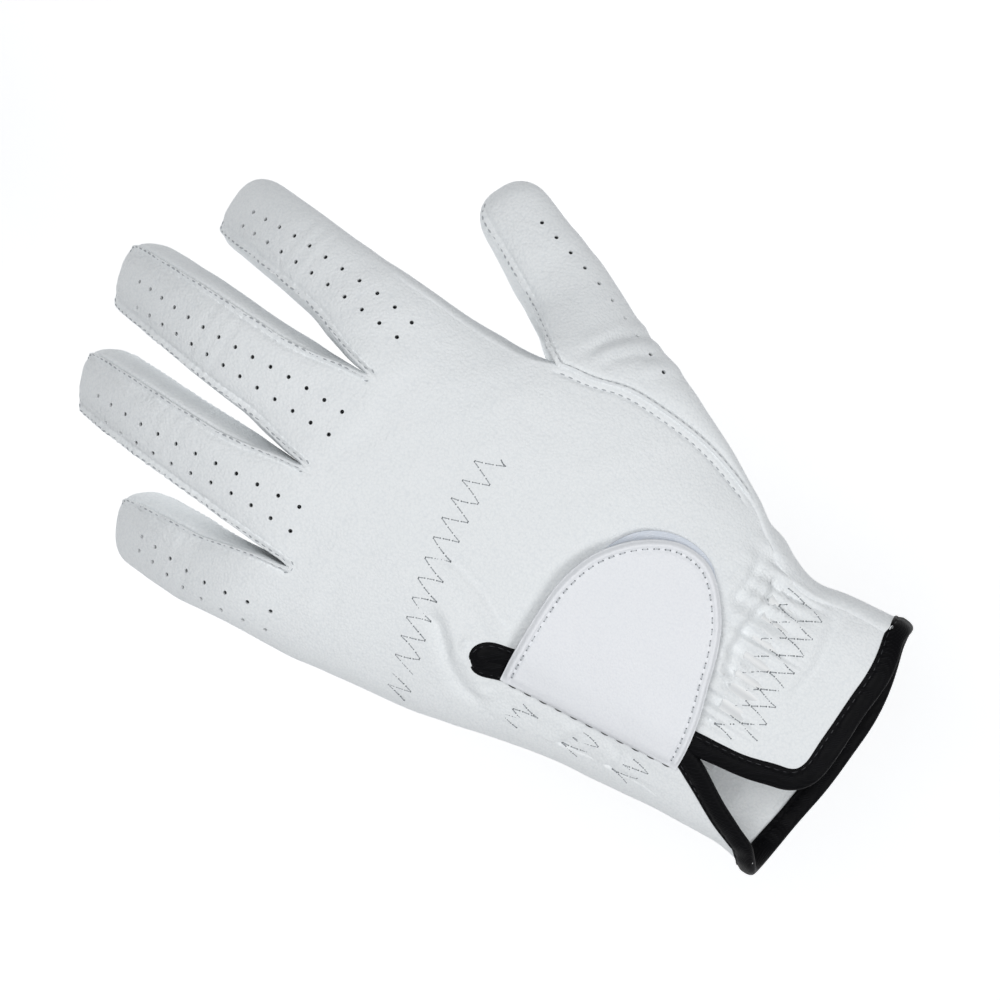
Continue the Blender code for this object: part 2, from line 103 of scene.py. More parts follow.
def node(tree, kind, settings=None, **links):
    """Adds a node: settings are its properties, links its sockets' values or sources."""
    made = tree.nodes.new(kind)
    for name, value in (settings or {}).items():
        setattr(made, name, value)
    for name, value in links.items():
        socket = made.inputs[int(name[1:])] if name[1:].isdigit() else made.inputs[name.replace("_", " ")]
        if isinstance(value, bpy.types.NodeSocket):
            tree.links.new(value, socket)
        else:
            socket.default_value = value
    return made


def new_material(name, **inputs):
    """A material with its tree and its shader, whose own sockets take the inputs."""
    material = bpy.data.materials.new(name)
    material.use_nodes = True
    shader = material.node_tree.nodes["Principled BSDF"]
    for socket, value in inputs.items():
        shader.inputs[socket.replace("_", " ")].default_value = value
    return material, material.node_tree, shader


PAPER_REACH, PAPER_DROP = 3, -0.3
PAPER_GLOW = 0.38        # lifts the paper to plain white
floor_finish, _, _ = new_material(
    "white_paper_sweep", Base_Color=linear("#ffffff"), Roughness=0.9,
    Emission_Color=(1, 1, 1, 1), Emission_Strength=PAPER_GLOW)
floor_mesh = bpy.data.meshes.new("floor")
floor_mesh.from_pydata([(PAPER_REACH * x, PAPER_REACH * y, PAPER_DROP)
                        for x, y in ((-1, -1), (1, -1), (1, 1), (-1, 1))], [], [(0, 1, 2, 3)])
floor_mesh.materials.append(floor_finish)
floor = added("floor", floor_mesh)

# ---------------------------------------------------------------- the hide
# One piece of thin white cabretta leather makes the back and the palm. It is filled
# here, so the hand is a boxy oval that narrows to the wrist, and each finger is a
# tapered tube that grows out of it. Sizes are millimetres until a mesh is made.
MM = 0.001
ORIGIN = np.array([7.6, 23.6, 0])
THICKNESS = 0.7
ROUND = 2.5              # squareness of the hand's oval section
CORNER = 38              # degrees from a finger's side to the seam beside it
MERGE = 22               # length over which a finger grows out of the hand
CUFF_BACK = -83
THUMB_ROOT_Y, WEB_Y, THUMB_CREST_Y, THUMB_CREST_Z = -40, 28, 17.5, 21
LITTLE_FRONT, INDEX_FRONT = 56.5, 66.5

STATIONS = [-89, -76, -60, -45, -22, 0, 28, 50, 68, 90]
ULNAR = [-40.2, -37.8, -39, -41, -44.8, -50.8, -56.3, -59.9, -61.2, -61.7]
RADIAL = [38.5, 37.5, 35, 40, 50, 58, 50, 42, 41, 41]
MIDDLE = [16.5, 16.5, 17, 18, 19, 21, 25, 28, 29.5, 28]
RISE = [15.5, 16.5, 18, 19.5, 21, 21.5, 19.5, 17, 15, 13]
FALL = [15.5, 16, 17.6, 18.8, 19.8, 18.5, 17, 15, 13.5, 12]
ULNAR_DROOP = 0.05


def through(knots, values, at):
    """A smooth value that passes through (knot, value) pairs."""
    knots, values = np.asarray(knots, float), np.asarray(values, float)
    at = np.clip(at, knots[0], knots[-1])
    slopes = np.gradient(values, knots)
    i = np.clip(np.searchsorted(knots, at) - 1, 0, len(knots) - 2)
    width = knots[i + 1] - knots[i]
    t = (at - knots[i]) / width
    return ((2 * t**3 - 3 * t**2 + 1) * values[i] + (t**3 - 2 * t**2 + t) * slopes[i] * width
            + (3 * t**2 - 2 * t**3) * values[i + 1] + (t**3 - t**2) * slopes[i + 1] * width)


def far_along(points):
    """Distance from the first point, along the line of points."""
    return np.concatenate([[0], np.cumsum(np.linalg.norm(np.diff(points, axis=0), axis=1))])


def at_distance(d, far, points):
    return np.stack([np.interp(d, far, points[:, k]) for k in range(points.shape[1])], -1)


def unit(vectors):
    return vectors / np.linalg.norm(vectors, axis=-1, keepdims=True)


def bezier(a, b, c, d, t):
    return (1 - t)**3 * a + 3 * (1 - t)**2 * t * b + 3 * (1 - t) * t**2 * c + t**3 * d


def squared(wave, power):
    """A sine or cosine made boxier, with its sign kept."""
    return np.sign(wave) * np.abs(wave) ** power


def smooth(t):
    t = np.clip(t, 0, 1)
    return t * t * (3 - 2 * t)


def bump(distance, width):
    return np.exp(-(distance / width) ** 2)


def section(y):
    ulnar, radial = through(STATIONS, ULNAR, y), through(STATIONS, RADIAL, y)
    return (ulnar + radial) / 2, (radial - ulnar) / 2, through(STATIONS, MIDDLE, y)


def surface(x, y, side):
    """Height of the back (side 1) or the palm (side -1) at x, y."""
    centre, half, middle = section(y)
    across = np.clip(np.abs((x - centre) / half), 0, 1)
    bulge = (1 - across**ROUND) ** (1 / ROUND)
    reach = through(STATIONS, RISE, y) if side > 0 else -through(STATIONS, FALL, y)
    droop = ULNAR_DROOP * (x - centre) * (1 if side > 0 else 1 - bulge)
    return np.maximum(middle + reach * bulge + droop, 0)


def skin(x, y, side, lift=0.0):
    """Points on the hand's surface, raised by lift along its normal."""
    x, y = np.broadcast_arrays(np.asarray(x, float), np.asarray(y, float))
    step = 0.5
    slope_x = (surface(x + step, y, side) - surface(x - step, y, side)) / (2 * step)
    slope_y = (surface(x, y + step, side) - surface(x, y - step, side)) / (2 * step)
    normal = unit(np.stack([-slope_x, -slope_y, np.ones_like(slope_x)], -1) * side)
    return np.stack([x, y, surface(x, y, side)], -1) + np.asarray(lift)[..., None] * normal


def ulnar_wall(t, y):
    """Rounded little-finger side, t from 0 at the back to 1 at the palm."""
    t, y = np.broadcast_arrays(np.asarray(t, float), np.asarray(y, float))
    centre, half, middle = section(y)
    wall = np.radians(through([-72, -50], [12, 30], y))
    angle = math.pi - wall + 2 * wall * t
    x = centre - half * np.abs(np.cos(angle)) ** (2 / ROUND)
    return np.stack([x, y, np.where(t < 0.5, surface(x, y, 1), surface(x, y, -1))], -1)


def back_edge(y):
    """Where the back meets the thumb seam, the index side or the wrist's side."""
    return through([-89, -66, -58, -50, -42, -34, -21, 0, 11, 19, 28, 34, 45, 66],
                   [31.3, 29.5, 27.7, 29, 33, 38, 43, 45.4, 44.7, 42.1, 40.3, 37.6, 36, 36], y)


def palm_edge(y):
    return through([-89, -66, -58, -50, -42, -30, -15, 0, 13, 22, 28, 34, 45, 66],
                   [30, 28.5, 27, 28, 31, 27, 22.5, 21, 24, 31, 39, 37, 35.5, 35.5], y)


def bulged(back, palm, crest, t):
    """Curve from back to palm whose middle reaches crest."""
    push = (crest - (back + palm) / 2) / 0.75
    return bezier(back, back + push, palm + push, palm, np.asarray(t)[..., None])


def radial_wall(t, y):
    t, y = np.broadcast_arrays(np.asarray(t, float), np.asarray(y, float))
    back, palm = skin(back_edge(y), y, 1), skin(palm_edge(y), y, -1)
    reach = through([-89, -74, -66, -58, -50, -45, -40, 27.9, 28, 34, 45, 66],
                    [36.5, 35, 33.9, 32.8, 34.2, 36.6, 37.7, 41, 41, 39.6, 38.6, 38.6], y)
    return bulged(back, palm, np.stack([reach, y, (back[..., 2] + palm[..., 2]) / 2], -1), t)


def thumb_base(t, r):
    """Thumb piece from the wrist (r 0) to the thumb's web (r 1), round the outside."""
    t, r = np.broadcast_arrays(np.asarray(t, float), np.asarray(r, float))
    y = THUMB_ROOT_Y + r * (WEB_Y - THUMB_ROOT_Y)
    back, palm = skin(back_edge(y), y, 1), skin(palm_edge(y), y, -1)
    crest_y = THUMB_ROOT_Y + r * (THUMB_CREST_Y - THUMB_ROOT_Y)
    crest_x = through([-40, -29, -20, -8.6, 1.4, 11.4, 17.5],
                      [37.7, 40.2, 43.8, 48.8, 53.6, 58.8, 61.8], crest_y)
    crest_z = (back[..., 2] + palm[..., 2]) / 2 * (1 - r) + THUMB_CREST_Z * r
    return bulged(back, palm, np.stack([crest_x, crest_y, crest_z], -1), t)


TIP_WIDTH, TIP_DEPTH, TIP_SQUARE = 9.5, 8, 2.4
TUBE_SQUARE = 0.72
SEAM_GAP = 0.3


class Digit:
    """A tapered tube round a curved centre line, merging into the hand at its root."""

    def __init__(self, name, root, tip, pitch, width, depth, roll, crotches, walls, zones):
        self.name, self.roll, self.walls = name, roll, walls
        self.width, self.depth = width, depth
        self.ulnar_crotch, self.radial_crotch = crotches
        self.root, tip = np.array(root, float), np.array(tip, float)
        self.plan = unit(np.array([tip[0] - root[0], tip[1] - root[1], 0]))
        third = np.linalg.norm(tip - self.root) / 3
        first, last = [self.plan * math.cos(math.radians(p)) - np.array([0, 0, math.sin(math.radians(p))])
                       for p in pitch]
        self.line = bezier(self.root, self.root + first * third, tip - last * third, tip,
                           np.linspace(0, 1, 200)[:, None])
        self.along = far_along(self.line)
        self.length = self.along[-1]
        self.zones = [share * self.length for share in zones]

    def sewn(self, side):
        """Whether a side strip is sewn in there, between two digits."""
        return self.walls[("ulnar", "radial").index(side)] == "inner"

    def on_line(self, s):
        return at_distance(s, self.along, self.line)

    def frame(self, s):
        """Centre, side direction and up direction at s millimetres from the root."""
        s = np.asarray(s, float)
        inside = np.clip(s, 0, self.length)
        tangent = unit(self.on_line(inside + 1) - self.on_line(inside - 1))
        centre = self.on_line(inside) + tangent * (s - inside)[..., None]
        side = unit(np.cross(tangent, [0, 0, 1]))
        up = np.cross(side, tangent)
        turn = np.radians(np.interp(s, [0, self.length], self.roll))[..., None]
        return centre, side * np.cos(turn) - up * np.sin(turn), up * np.cos(turn) + side * np.sin(turn)

    def closing(self, s, radius):
        """Rounds the fingertip off."""
        past = np.clip((s - (self.length - radius)) / radius, 0, 1)
        return (1 - past**TIP_SQUARE) ** (1 / TIP_SQUARE)

    def ring(self, s, angle):
        """Points on the tube's skin; angle 0 is the thumb side and 90 the back."""
        centre, side, up = self.frame(s)
        thirds = [0, self.length * 0.5, self.length]
        half_width = (np.interp(s, thirds, self.width) * self.closing(s, TIP_WIDTH))[..., None]
        half_depth = (np.interp(s, thirds, self.depth) * self.closing(s, TIP_DEPTH))[..., None]
        c, v = np.cos(np.radians(angle))[..., None], np.sin(np.radians(angle))[..., None]
        return (centre + side * half_width * squared(c, TUBE_SQUARE)
                + up * half_depth * squared(v, TUBE_SQUARE))

    def angle(self, arc, q):
        starts = {"back": 180 - CORNER, "radial": CORNER, "palm": 360 - CORNER, "ulnar": 180 + CORNER}
        return starts[arc] + (2 * CORNER - 180 if arc in ("back", "palm") else -2 * CORNER) * q

    def start(self, arc, q):
        """How far behind the root line a strip begins (the crotches differ in height)."""
        share = {"back": q, "radial": 1 + 0 * q, "palm": 1 - q, "ulnar": 0 * q}[arc]
        return self.ulnar_crotch[1] * (1 - share) + self.radial_crotch[1] * share - self.root[1]

    def on_hand(self, arc, q, s):
        """The hand's own shape, carried forward past the digit's root."""
        y = self.root[1] + s
        gap = SEAM_GAP * np.clip((s - self.start(arc, q)) / 2, 0, 1)
        left = self.ulnar_crotch[0] + gap if self.sewn("ulnar") else ulnar_wall(0, y)[..., 0]
        right = self.radial_crotch[0] - gap if self.sewn("radial") else back_edge(y)
        if arc == "back":
            return skin(left + (right - left) * q, y, 1)
        if arc == "palm":
            low = right if self.sewn("radial") else palm_edge(y)
            return skin(low + (left - low) * q, y, -1)
        if not self.sewn(arc):
            return radial_wall(q, y) if arc == "radial" else ulnar_wall(1 - q, y)
        x = right if arc == "radial" else left
        top, bottom = skin(x, y, 1), skin(x, y, -1)
        return top + (bottom - top) * (q if arc == "radial" else 1 - q)[..., None]

    def point(self, arc, q, s):
        q, s = np.broadcast_arrays(np.asarray(q, float), np.asarray(s, float))
        begin = self.start(arc, q)
        weight = smooth((s - begin) / (MERGE - begin))[..., None]
        return (1 - weight) * self.on_hand(arc, q, s) + weight * self.ring(s, self.angle(arc, q))


# Round the thumb base, the shares at which the back strip ends and the palm strip begins.
BACK_END, PALM_START = 0.35, 0.65
THUMB_FALL = np.array([0, 0, 0.12])


class Thumb(Digit):
    """The thumb grows out of the thumb base instead of the row of knuckles."""

    SPANS = {"back": (0, BACK_END), "radial": (BACK_END, PALM_START), "palm": (PALM_START, 1)}

    def start(self, arc, q):
        return 0.0 * q

    def on_hand(self, arc, q, s):
        push = self.plan * s[..., None] - THUMB_FALL * s[..., None]
        if arc == "ulnar":
            return radial_wall(1 - q, WEB_Y + 0 * q) + push
        low, high = self.SPANS[arc]
        return thumb_base(low + (high - low) * q, 1.0 + 0 * q) + push


# Each digit: its root, its tip, how steeply it leaves and ends, its half widths and half
# depths, how it rolls, and the crotches on its two sides. Zones are shares of its length
# at which its lower and its upper bend begin and end.
CROTCHES = LITTLE_CROTCH, RING_CROTCH, MIDDLE_CROTCH = (-39.7, 56.5), (-16.4, 67.4), (11.6, 66.5)
FINGER_ZONES = (0.03, 0.22, 0.34, 0.58)
THUMB_ZONES = (0.04, 0.27, 0.38, 0.66)
INDEX = Digit("index", (26.2, 66.5, 32), (30, 118.9, 3.2), (2, 56), (12, 10.9, 10.1), (9.8, 8.6, 7.2),
              (4, -6), (MIDDLE_CROTCH, (38.5, 66.5)), ("inner", "outer"), FINGER_ZONES)
MIDDLE_FINGER = Digit("middle", (-2.1, 67.4, 33.5), (0.5, 133, 3.2), (-2, 56), (12.7, 11.8, 9.8),
                      (10, 8.8, 7.4), (-8, -22), (RING_CROTCH, MIDDLE_CROTCH), ("inner", "inner"),
                      FINGER_ZONES)
RING_FINGER = Digit("ring", (-28, 67.4, 31.5), (-27.5, 126.5, 3.2), (-2, 55), (11.2, 10.5, 9.4),
                    (9.6, 8.4, 7.2), (-14, -28), (LITTLE_CROTCH, RING_CROTCH), ("inner", "inner"),
                    FINGER_ZONES)
LITTLE = Digit("little", (-50.7, 56.5, 27), (-53.9, 98.2, 3), (2, 54), (10.3, 10.6, 9.7), (8.8, 7.8, 6.8),
               (-14, -28), ((-60.5, 56.5), LITTLE_CROTCH), ("outer", "inner"), FINGER_ZONES)
THUMB = Thumb("thumb", (51.4, 21.5, 21), (70.1, 65.6, 9.5), (6, 24), (12.2, 11, 9), (11, 9.2, 7.8), (4, 1),
              ((40.3, 28), (63, 17.5)), ("inner", "outer"), THUMB_ZONES)
FINGERS = [LITTLE, RING_FINGER, MIDDLE_FINGER, INDEX]
DIGITS = FINGERS + [THUMB]

# Columns crowd together beside a seam, where the folded edge of the leather stands up.
SEAM_STEPS = [0, 0.15, 0.35, 0.6, 0.85, 1.1, 1.35, 1.6, 1.9, 2.3, 2.9]


def columns(length, pitch):
    """Shares of an arc, fine beside both of its seams and even between them."""
    edge = np.array(SEAM_STEPS) / length
    count = max(3, round((1 - 2 * edge[-1]) * length / pitch))
    return np.concatenate([edge[:-1], np.linspace(edge[-1], 1 - edge[-1], count), 1 - edge[:-1][::-1]])


BACK_Q = columns(19, 1.0)
PALM_Q = columns(19, 1.8)
WALL_Q = columns(14, 1.0)
ROWS_WRIST = np.linspace(0, 1, 48)
ROWS_THUMB = np.linspace(0, 1, 66)
ROWS_KNUCKLE = np.linspace(0, 1, 36)


CUFF_LEFT, CUFF_RIGHT = -38, 32


def cuff_line(x, side):
    """y of the cut edge of the cuff, which curves up towards the thumb side."""
    if side > 0:
        return through([-38, -14, 8, 24, 32], [-84.6, -84, -84.2, -84, -82], x)
    return through([-38, -20, 0, 18, 30], [-85.8, -88.8, -90.3, -89.5, -85.2], x)


def fingers_across(side):
    """Front points (x, y) of the hand's columns, from the little finger to the index."""
    xs, ys = [], []
    for finger in FINGERS:
        q = BACK_Q if side > 0 else PALM_Q
        left = finger.ulnar_crotch[0] if finger.sewn("ulnar") else float(ulnar_wall(0, LITTLE_FRONT)[0])
        right = finger.radial_crotch[0] if finger.sewn("radial") else float(
            back_edge(INDEX_FRONT) if side > 0 else palm_edge(INDEX_FRONT))
        y = finger.ulnar_crotch[1] + (finger.radial_crotch[1] - finger.ulnar_crotch[1]) * q
        first = 0 if not xs else 1
        xs.extend((left + (right - left) * q)[first:])
        ys.extend(y[first:])
    return np.array(xs), np.array(ys)


def hand_rows(cuff, front):
    """y of every row of a column that runs from the cuff to front."""
    return np.concatenate([cuff + (THUMB_ROOT_Y - cuff) * ROWS_WRIST,
                           THUMB_ROOT_Y + (WEB_Y - THUMB_ROOT_Y) * ROWS_THUMB[1:],
                           WEB_Y + (front - WEB_Y) * ROWS_KNUCKLE[1:]])


def hand_side(side):
    edge = back_edge if side > 0 else palm_edge
    front_x, front_y = fingers_across(side)
    wall = 0 if side > 0 else 1
    left_front = ulnar_wall(wall, front_y)[:, 0]
    share = (front_x - left_front) / (edge(front_y) - left_front)
    cuff = cuff_line(CUFF_LEFT + share * (CUFF_RIGHT - CUFF_LEFT), side)
    y = np.stack([hand_rows(c, f) for c, f in zip(cuff, front_y)], 1)
    left = ulnar_wall(wall, y)[..., 0]
    x = left + (edge(y) - left) * share
    return skin(x, y, side)


THUMB_T = np.concatenate([BACK_Q * BACK_END, BACK_END + WALL_Q[1:] * 0.3, PALM_START + PALM_Q[1:] * 0.35])
WRIST_END, THUMB_END = len(ROWS_WRIST), len(ROWS_WRIST) + len(ROWS_THUMB) - 1
CUFF_ENDS = {wall: (cuff_line(x, 1), cuff_line(x, -1))
             for wall, x in (("ulnar", CUFF_LEFT), ("radial", CUFF_RIGHT))}


def side_cuff(side, t):
    first, last = CUFF_ENDS[side]
    return first + (last - first) * t


def hand_patches():
    ulnar_rows = np.stack([hand_rows(side_cuff("ulnar", t), LITTLE_FRONT) for t in WALL_Q], 1)
    wrist_rows = np.stack([hand_rows(side_cuff("radial", t), INDEX_FRONT)[:WRIST_END] for t in THUMB_T], 1)
    index_rows = np.repeat(hand_rows(CUFF_BACK, INDEX_FRONT)[THUMB_END - 1:, None], len(WALL_Q), 1)
    return {
        "back": hand_side(1),
        "palm": hand_side(-1),
        "ulnar_side": ulnar_wall(WALL_Q[None], ulnar_rows),
        "wrist_side": radial_wall(THUMB_T[None], wrist_rows),
        "thumb_base": thumb_base(THUMB_T[None], ROWS_THUMB[:, None]),
        "index_side": radial_wall(WALL_Q[None], index_rows),
    }


ROW_PITCH = 0.9


def digit_rows(digit):
    """Stations past the merging length, closer together over the rounded tip."""
    straight = digit.length - TIP_WIDTH
    even = np.linspace(MERGE, straight, max(4, round((straight - MERGE) / ROW_PITCH)))
    turn = np.linspace(0, math.pi / 2, 15)[1:]
    return np.concatenate([even, digit.length - TIP_WIDTH * (1 - np.sin(turn))])


ARCS = (("back", BACK_Q), ("radial", WALL_Q), ("palm", PALM_Q), ("ulnar", WALL_Q))
MERGE_ROWS = 25


def digit_patches(digit):
    """Each arc's grid, its stations, and the row halfway along the rigid lower length."""
    split = (digit.zones[1] + digit.zones[2]) / 2
    later = digit_rows(digit)[1:, None]
    made = {}
    for arc, q in ARCS:
        begin = digit.start(arc, q)
        s = np.concatenate([begin + (MERGE - begin) * np.linspace(0, 1, MERGE_ROWS + 1)[:, None],
                            np.repeat(later, len(q), 1)])
        nearest = int(np.argmin(np.abs(later[:, 0] - split)))
        cut = MERGE_ROWS + nearest + 1 if split > MERGE else round(MERGE_ROWS * (split / MERGE))
        made[arc] = (digit.point(arc, q[None] + 0 * s, s), s, cut)
    return made


class Surface:
    """All the outer leather as one welded skin, so that shading runs on across pieces."""

    def __init__(self):
        self.points, self.where, self.faces, self.grids = [], {}, {}, {}

    def vertex(self, point):
        key = tuple(np.round(point, 3))
        if key not in self.where:
            self.where[key] = len(self.points)
            self.points.append(point)
        return self.where[key]

    def add(self, name, grid, cores):
        ids = np.array([[self.vertex(p) for p in row] for row in grid])
        self.grids[name] = ids
        quads = np.stack([ids[:-1, :-1], ids[:-1, 1:], ids[1:, 1:], ids[1:, :-1]], -1).reshape(-1, 4)
        across = np.cross(grid[:-1, 1:] - grid[:-1, :-1], grid[1:, :-1] - grid[:-1, :-1])
        if np.sum(across * (grid[:-1, :-1] - cores[:-1, :-1])) < 0:
            quads = quads[:, ::-1]
        self.faces[name] = quads

    def normals(self):
        points = np.array(self.points)
        total = np.zeros_like(points)
        for quads in self.faces.values():
            p = points[quads]
            across = np.cross(p[:, 2] - p[:, 0], p[:, 3] - p[:, 1])
            for corner in range(4):
                np.add.at(total, quads[:, corner], across)
        return total / np.maximum(np.linalg.norm(total, axis=1, keepdims=True), 1e-9)

    def raise_by(self, heights):
        """Moves every point along its normal by the mean height its patches ask for."""
        total, count = np.zeros(len(self.points)), np.zeros(len(self.points))
        for name, height in heights.items():
            np.add.at(total, self.grids[name].ravel(), height.ravel())
            np.add.at(count, self.grids[name].ravel(), 1)
        lift = total / np.maximum(count, 1)
        self.points = list(np.array(self.points) + self.normals() * lift[:, None])


HIDE = Surface()
HAND_GRIDS = hand_patches()
for name, grid in HAND_GRIDS.items():
    centre, half, middle = section(grid[..., 1])
    cores = np.stack([centre, grid[..., 1], middle], -1)
    if name == "thumb_base":
        cores = np.repeat((grid[:, :1] + grid[:, -1:]) / 2, grid.shape[1], 1)
    HIDE.add(name, grid, cores)
DIGIT_GRIDS = {}
for digit in DIGITS:
    for arc, (grid, s, cut) in digit_patches(digit).items():
        cores = digit.frame(s)[0]
        DIGIT_GRIDS[digit.name, arc] = (grid, s, cut)
        HIDE.add(f"{digit.name}_{arc}_lower", grid[:cut + 1], cores[:cut + 1])
        HIDE.add(f"{digit.name}_{arc}_upper", grid[cut:], cores[cut:])

# Relief over the skin, in millimetres: seams, puckers at the stitches, folds and gathers.
STITCH_LINE = 1.75       # from a seam's folded edge to its stitches
STITCH_PITCH = 2.2


def seam_ridge(d):
    """A turned and stitched leather edge: a rounded ridge, then the groove of the stitches."""
    return 1.0 * bump(d - 0.7, 0.55) - 0.5 * bump(d - STITCH_LINE, 0.42)


def soft_dents(points):
    """Slow, shallow unevenness of filled leather."""
    x, y, z = points[..., 0], points[..., 1], points[..., 2]
    return (0.17 * np.sin(x / 6.1 + 1.3 * np.sin(y / 9.7) + z / 8.3)
            + 0.14 * np.sin(y / 5.3 + 1.7 * np.sin(x / 7.9 + 2) + z / 5.1)
            + 0.06 * np.sin(x / 2.3 + y / 3.1 + 2 * np.sin(y / 6.3)))


def along_rows(grid):
    """Distance from a grid's first column, along each row."""
    steps = np.linalg.norm(np.diff(grid, axis=1), axis=2)
    return np.concatenate([np.zeros((len(grid), 1)), np.cumsum(steps, axis=1)], axis=1)


def from_edges(grid):
    """Distances from a grid's first column and from its last."""
    first = along_rows(grid)
    return first, first[:, -1:] - first


def to_line(x, y, line):
    """Distance to a line of (x, y) points, which side it lies on, and how far along it."""
    best, side, share = np.full(np.shape(x), 1e9), np.zeros(np.shape(x)), np.zeros(np.shape(x))
    for k, ((ax, ay), (bx, by)) in enumerate(zip(line, line[1:])):
        ux, uy = bx - ax, by - ay
        t = np.clip(((x - ax) * ux + (y - ay) * uy) / (ux * ux + uy * uy), 0, 1)
        dx, dy = x - ax - t * ux, y - ay - t * uy
        d = np.hypot(dx, dy)
        near = d < best
        best = np.where(near, d, best)
        side = np.where(near, np.sign(ux * dy - uy * dx), side)
        share = np.where(near, (k + t) / (len(line) - 1), share)
    return best, side, share


def fold(x, y, line, depth, width):
    """A crease that fades at its ends, with a soft swelling on its left side."""
    d, side, share = to_line(x, y, line)
    fade = smooth(share * 5) * smooth((1 - share) * 5)
    return 1.5 * fade * depth * (0.8 * bump(d * side - 1.8 * width, 1.3 * width) - bump(d, width))


BACK_FOLDS = [
    ([(-23, -3), (-20.9, 4.5), (-17.6, 12.5), (-15.6, 21), (-15, 28)], 0.55, 0.9),
    ([(-28.7, 22.5), (-30.6, 16.7), (-36.7, 9.7), (-40.1, 3.8), (-42, -7)], 0.85, 1.7),
    ([(-31, -4.5), (-37, -3.6), (-38.4, 1.6), (-36, 6.6), (-31, 8.6), (-25, 7)], 0.35, 0.8),
    ([(-4, -55), (4, -49.5), (13, -48.6), (22, -49.8), (30, -47.5)], 0.9, 1.6),
    ([(14, -42), (22, -43.4), (31, -42)], 0.7, 1.8),
    ([(0, -68), (14, -69.5), (30, -66)], 0.45, 1.8),
    ([(-45, -22), (-38, -27), (-33, -29)], 0.45, 1.2),
    ([(-42, -38), (-36, -40), (-31, -39)], 0.4, 1.1),
    ([(-12, 62), (0, 57), (12, 58), (24, 54)], 0.25, 2.6),
    ([(-50, 40), (-36, 44), (-20, 41)], 0.22, 2.6),
]
THUMB_FOLDS = [
    ([(45.6, 24), (50, 22.6), (55.1, 19.5), (58.4, 15.4), (60.5, 10)], 0.38, 1.2),
    ([(45, 19.5), (49.8, 17.2), (54.2, 13), (57.4, 6)], 0.38, 1.3),
    ([(48, 9), (52.4, 5.6), (55.2, -1)], 0.2, 1.4),
]
UNDER_THUMB_Z = 12       # the thumb's creases fade out below this height
GATHER_X0, GATHER_PITCH = 21.5, 4.87


def gathers(x, y, line_y):
    """Small folds across an elastic, one to each stitch of the zigzag that holds it."""
    phase = 2 * math.pi * (x - GATHER_X0 + 0.05 * (y - line_y)) / GATHER_PITCH
    wander = 0.8 * np.sin(x / 3.7) + 0.5 * np.sin(x / 1.9 + y / 9)
    crossing = np.cos(phase + wander)
    return (-1.0 * crossing * bump(y - line_y - 3.5, 8) - 0.28 * np.cos(2.3 * phase) * bump(y - line_y, 9)
            - 1.0 * bump(y - line_y + 1, 6.5))


def back_relief(grid):
    x, y = grid[..., 0], grid[..., 1]
    lift = soft_dents(grid) + sum(fold(x, y, *crease) for crease in BACK_FOLDS)
    wrist = smooth((x + 18) / 6)
    lift += wrist * gathers(x, y, -56.5 + 0.1 * x)
    lift += 0.22 * (1 - wrist) * gathers(x, y, -47) + 0.14 * smooth((-x - 28) / 5) * (
        gathers(x, y, -17) + gathers(x, y, -33))
    return lift


heights = {}
for digit in DIGITS:
    for arc, q in ARCS:
        grid, s, cut = DIGIT_GRIDS[digit.name, arc]
        first, last = from_edges(grid)
        lift = soft_dents(grid) * smooth((digit.length - s) / 10)
        fade = smooth((digit.length - 1.5 - s) / 5)
        joins = {"back": ("ulnar", "radial"), "palm": ("radial", "ulnar")}.get(arc)
        for side, d in zip(joins or (), (first, last)):
            if digit.sewn(side):
                pucker = 0.32 * np.cos(2 * math.pi * s / STITCH_PITCH) * bump(d - 1.3, 0.75)
                wrinkle = 0.2 * np.sin(2 * math.pi * (s + 0.5 * d) / 1.9 + 1.5 * np.sin(s / 2.9)) * (
                    bump(d - 4, 3) * smooth((s - digit.length * 0.4) / 9))
                lift += (seam_ridge(d) + pucker + wrinkle) * fade
        if not joins and digit.sewn(arc):
            lift += -0.5 * (bump(first, 0.6) + bump(last, 0.6)) * fade
        if digit is THUMB and arc in ("back", "radial"):
            lift += sum(fold(grid[..., 0], grid[..., 1], *crease) for crease in THUMB_FOLDS)
        bend = (digit.zones[2] + digit.zones[3]) / 2
        if arc == "back" and digit is not THUMB:
            lift += -0.16 * (bump(s - bend, 0.9) + bump(s - bend - 3.6, 0.8) + bump(s - bend + 3.4, 0.8))
        heights[f"{digit.name}_{arc}_lower"] = lift[:cut + 1]
        heights[f"{digit.name}_{arc}_upper"] = lift[cut:]

for name, grid in HAND_GRIDS.items():
    lift = back_relief(grid) if name == "back" else soft_dents(grid)
    x, y = grid[..., 0], grid[..., 1]
    if name in ("back", "palm"):
        for crotch_x, crotch_y in CROTCHES:
            lift += seam_ridge(np.hypot(x - crotch_x, y - crotch_y))
        lift += -0.12 * np.clip(-np.cos(2 * math.pi * y / 7), 0, 1) * (name == "palm")
        from_edge = from_edges(grid)[1]
        seam = smooth((y + 33) / 6) * smooth((29 - y) / 2)
        lift += seam * (0.15 * bump(from_edge - 0.9, 0.9) - 0.5 * bump(from_edge - 1.9, 0.42))
    if name == "thumb_base":
        seam = smooth((y + 33) / 6)
        for d in from_edges(grid):
            lift += seam * (0.95 * bump(d - 0.65, 0.5) - 0.45 * bump(d - 1.6, 0.4))
        lift += sum(fold(x, y, *crease) for crease in THUMB_FOLDS) * (grid[..., 2] > UNDER_THUMB_Z)
    if name == "wrist_side":
        lift += 0.4 * gathers(x, y, -56) * smooth(1 - THUMB_T * 3)
        lift += -0.75 * bump(y + 57.5, 6.5) * smooth(THUMB_T * 3)
    heights[name] = lift
HIDE.raise_by(heights)
HIDE_NORMALS = HIDE.normals()
HIDE_POINTS = np.array(HIDE.points)


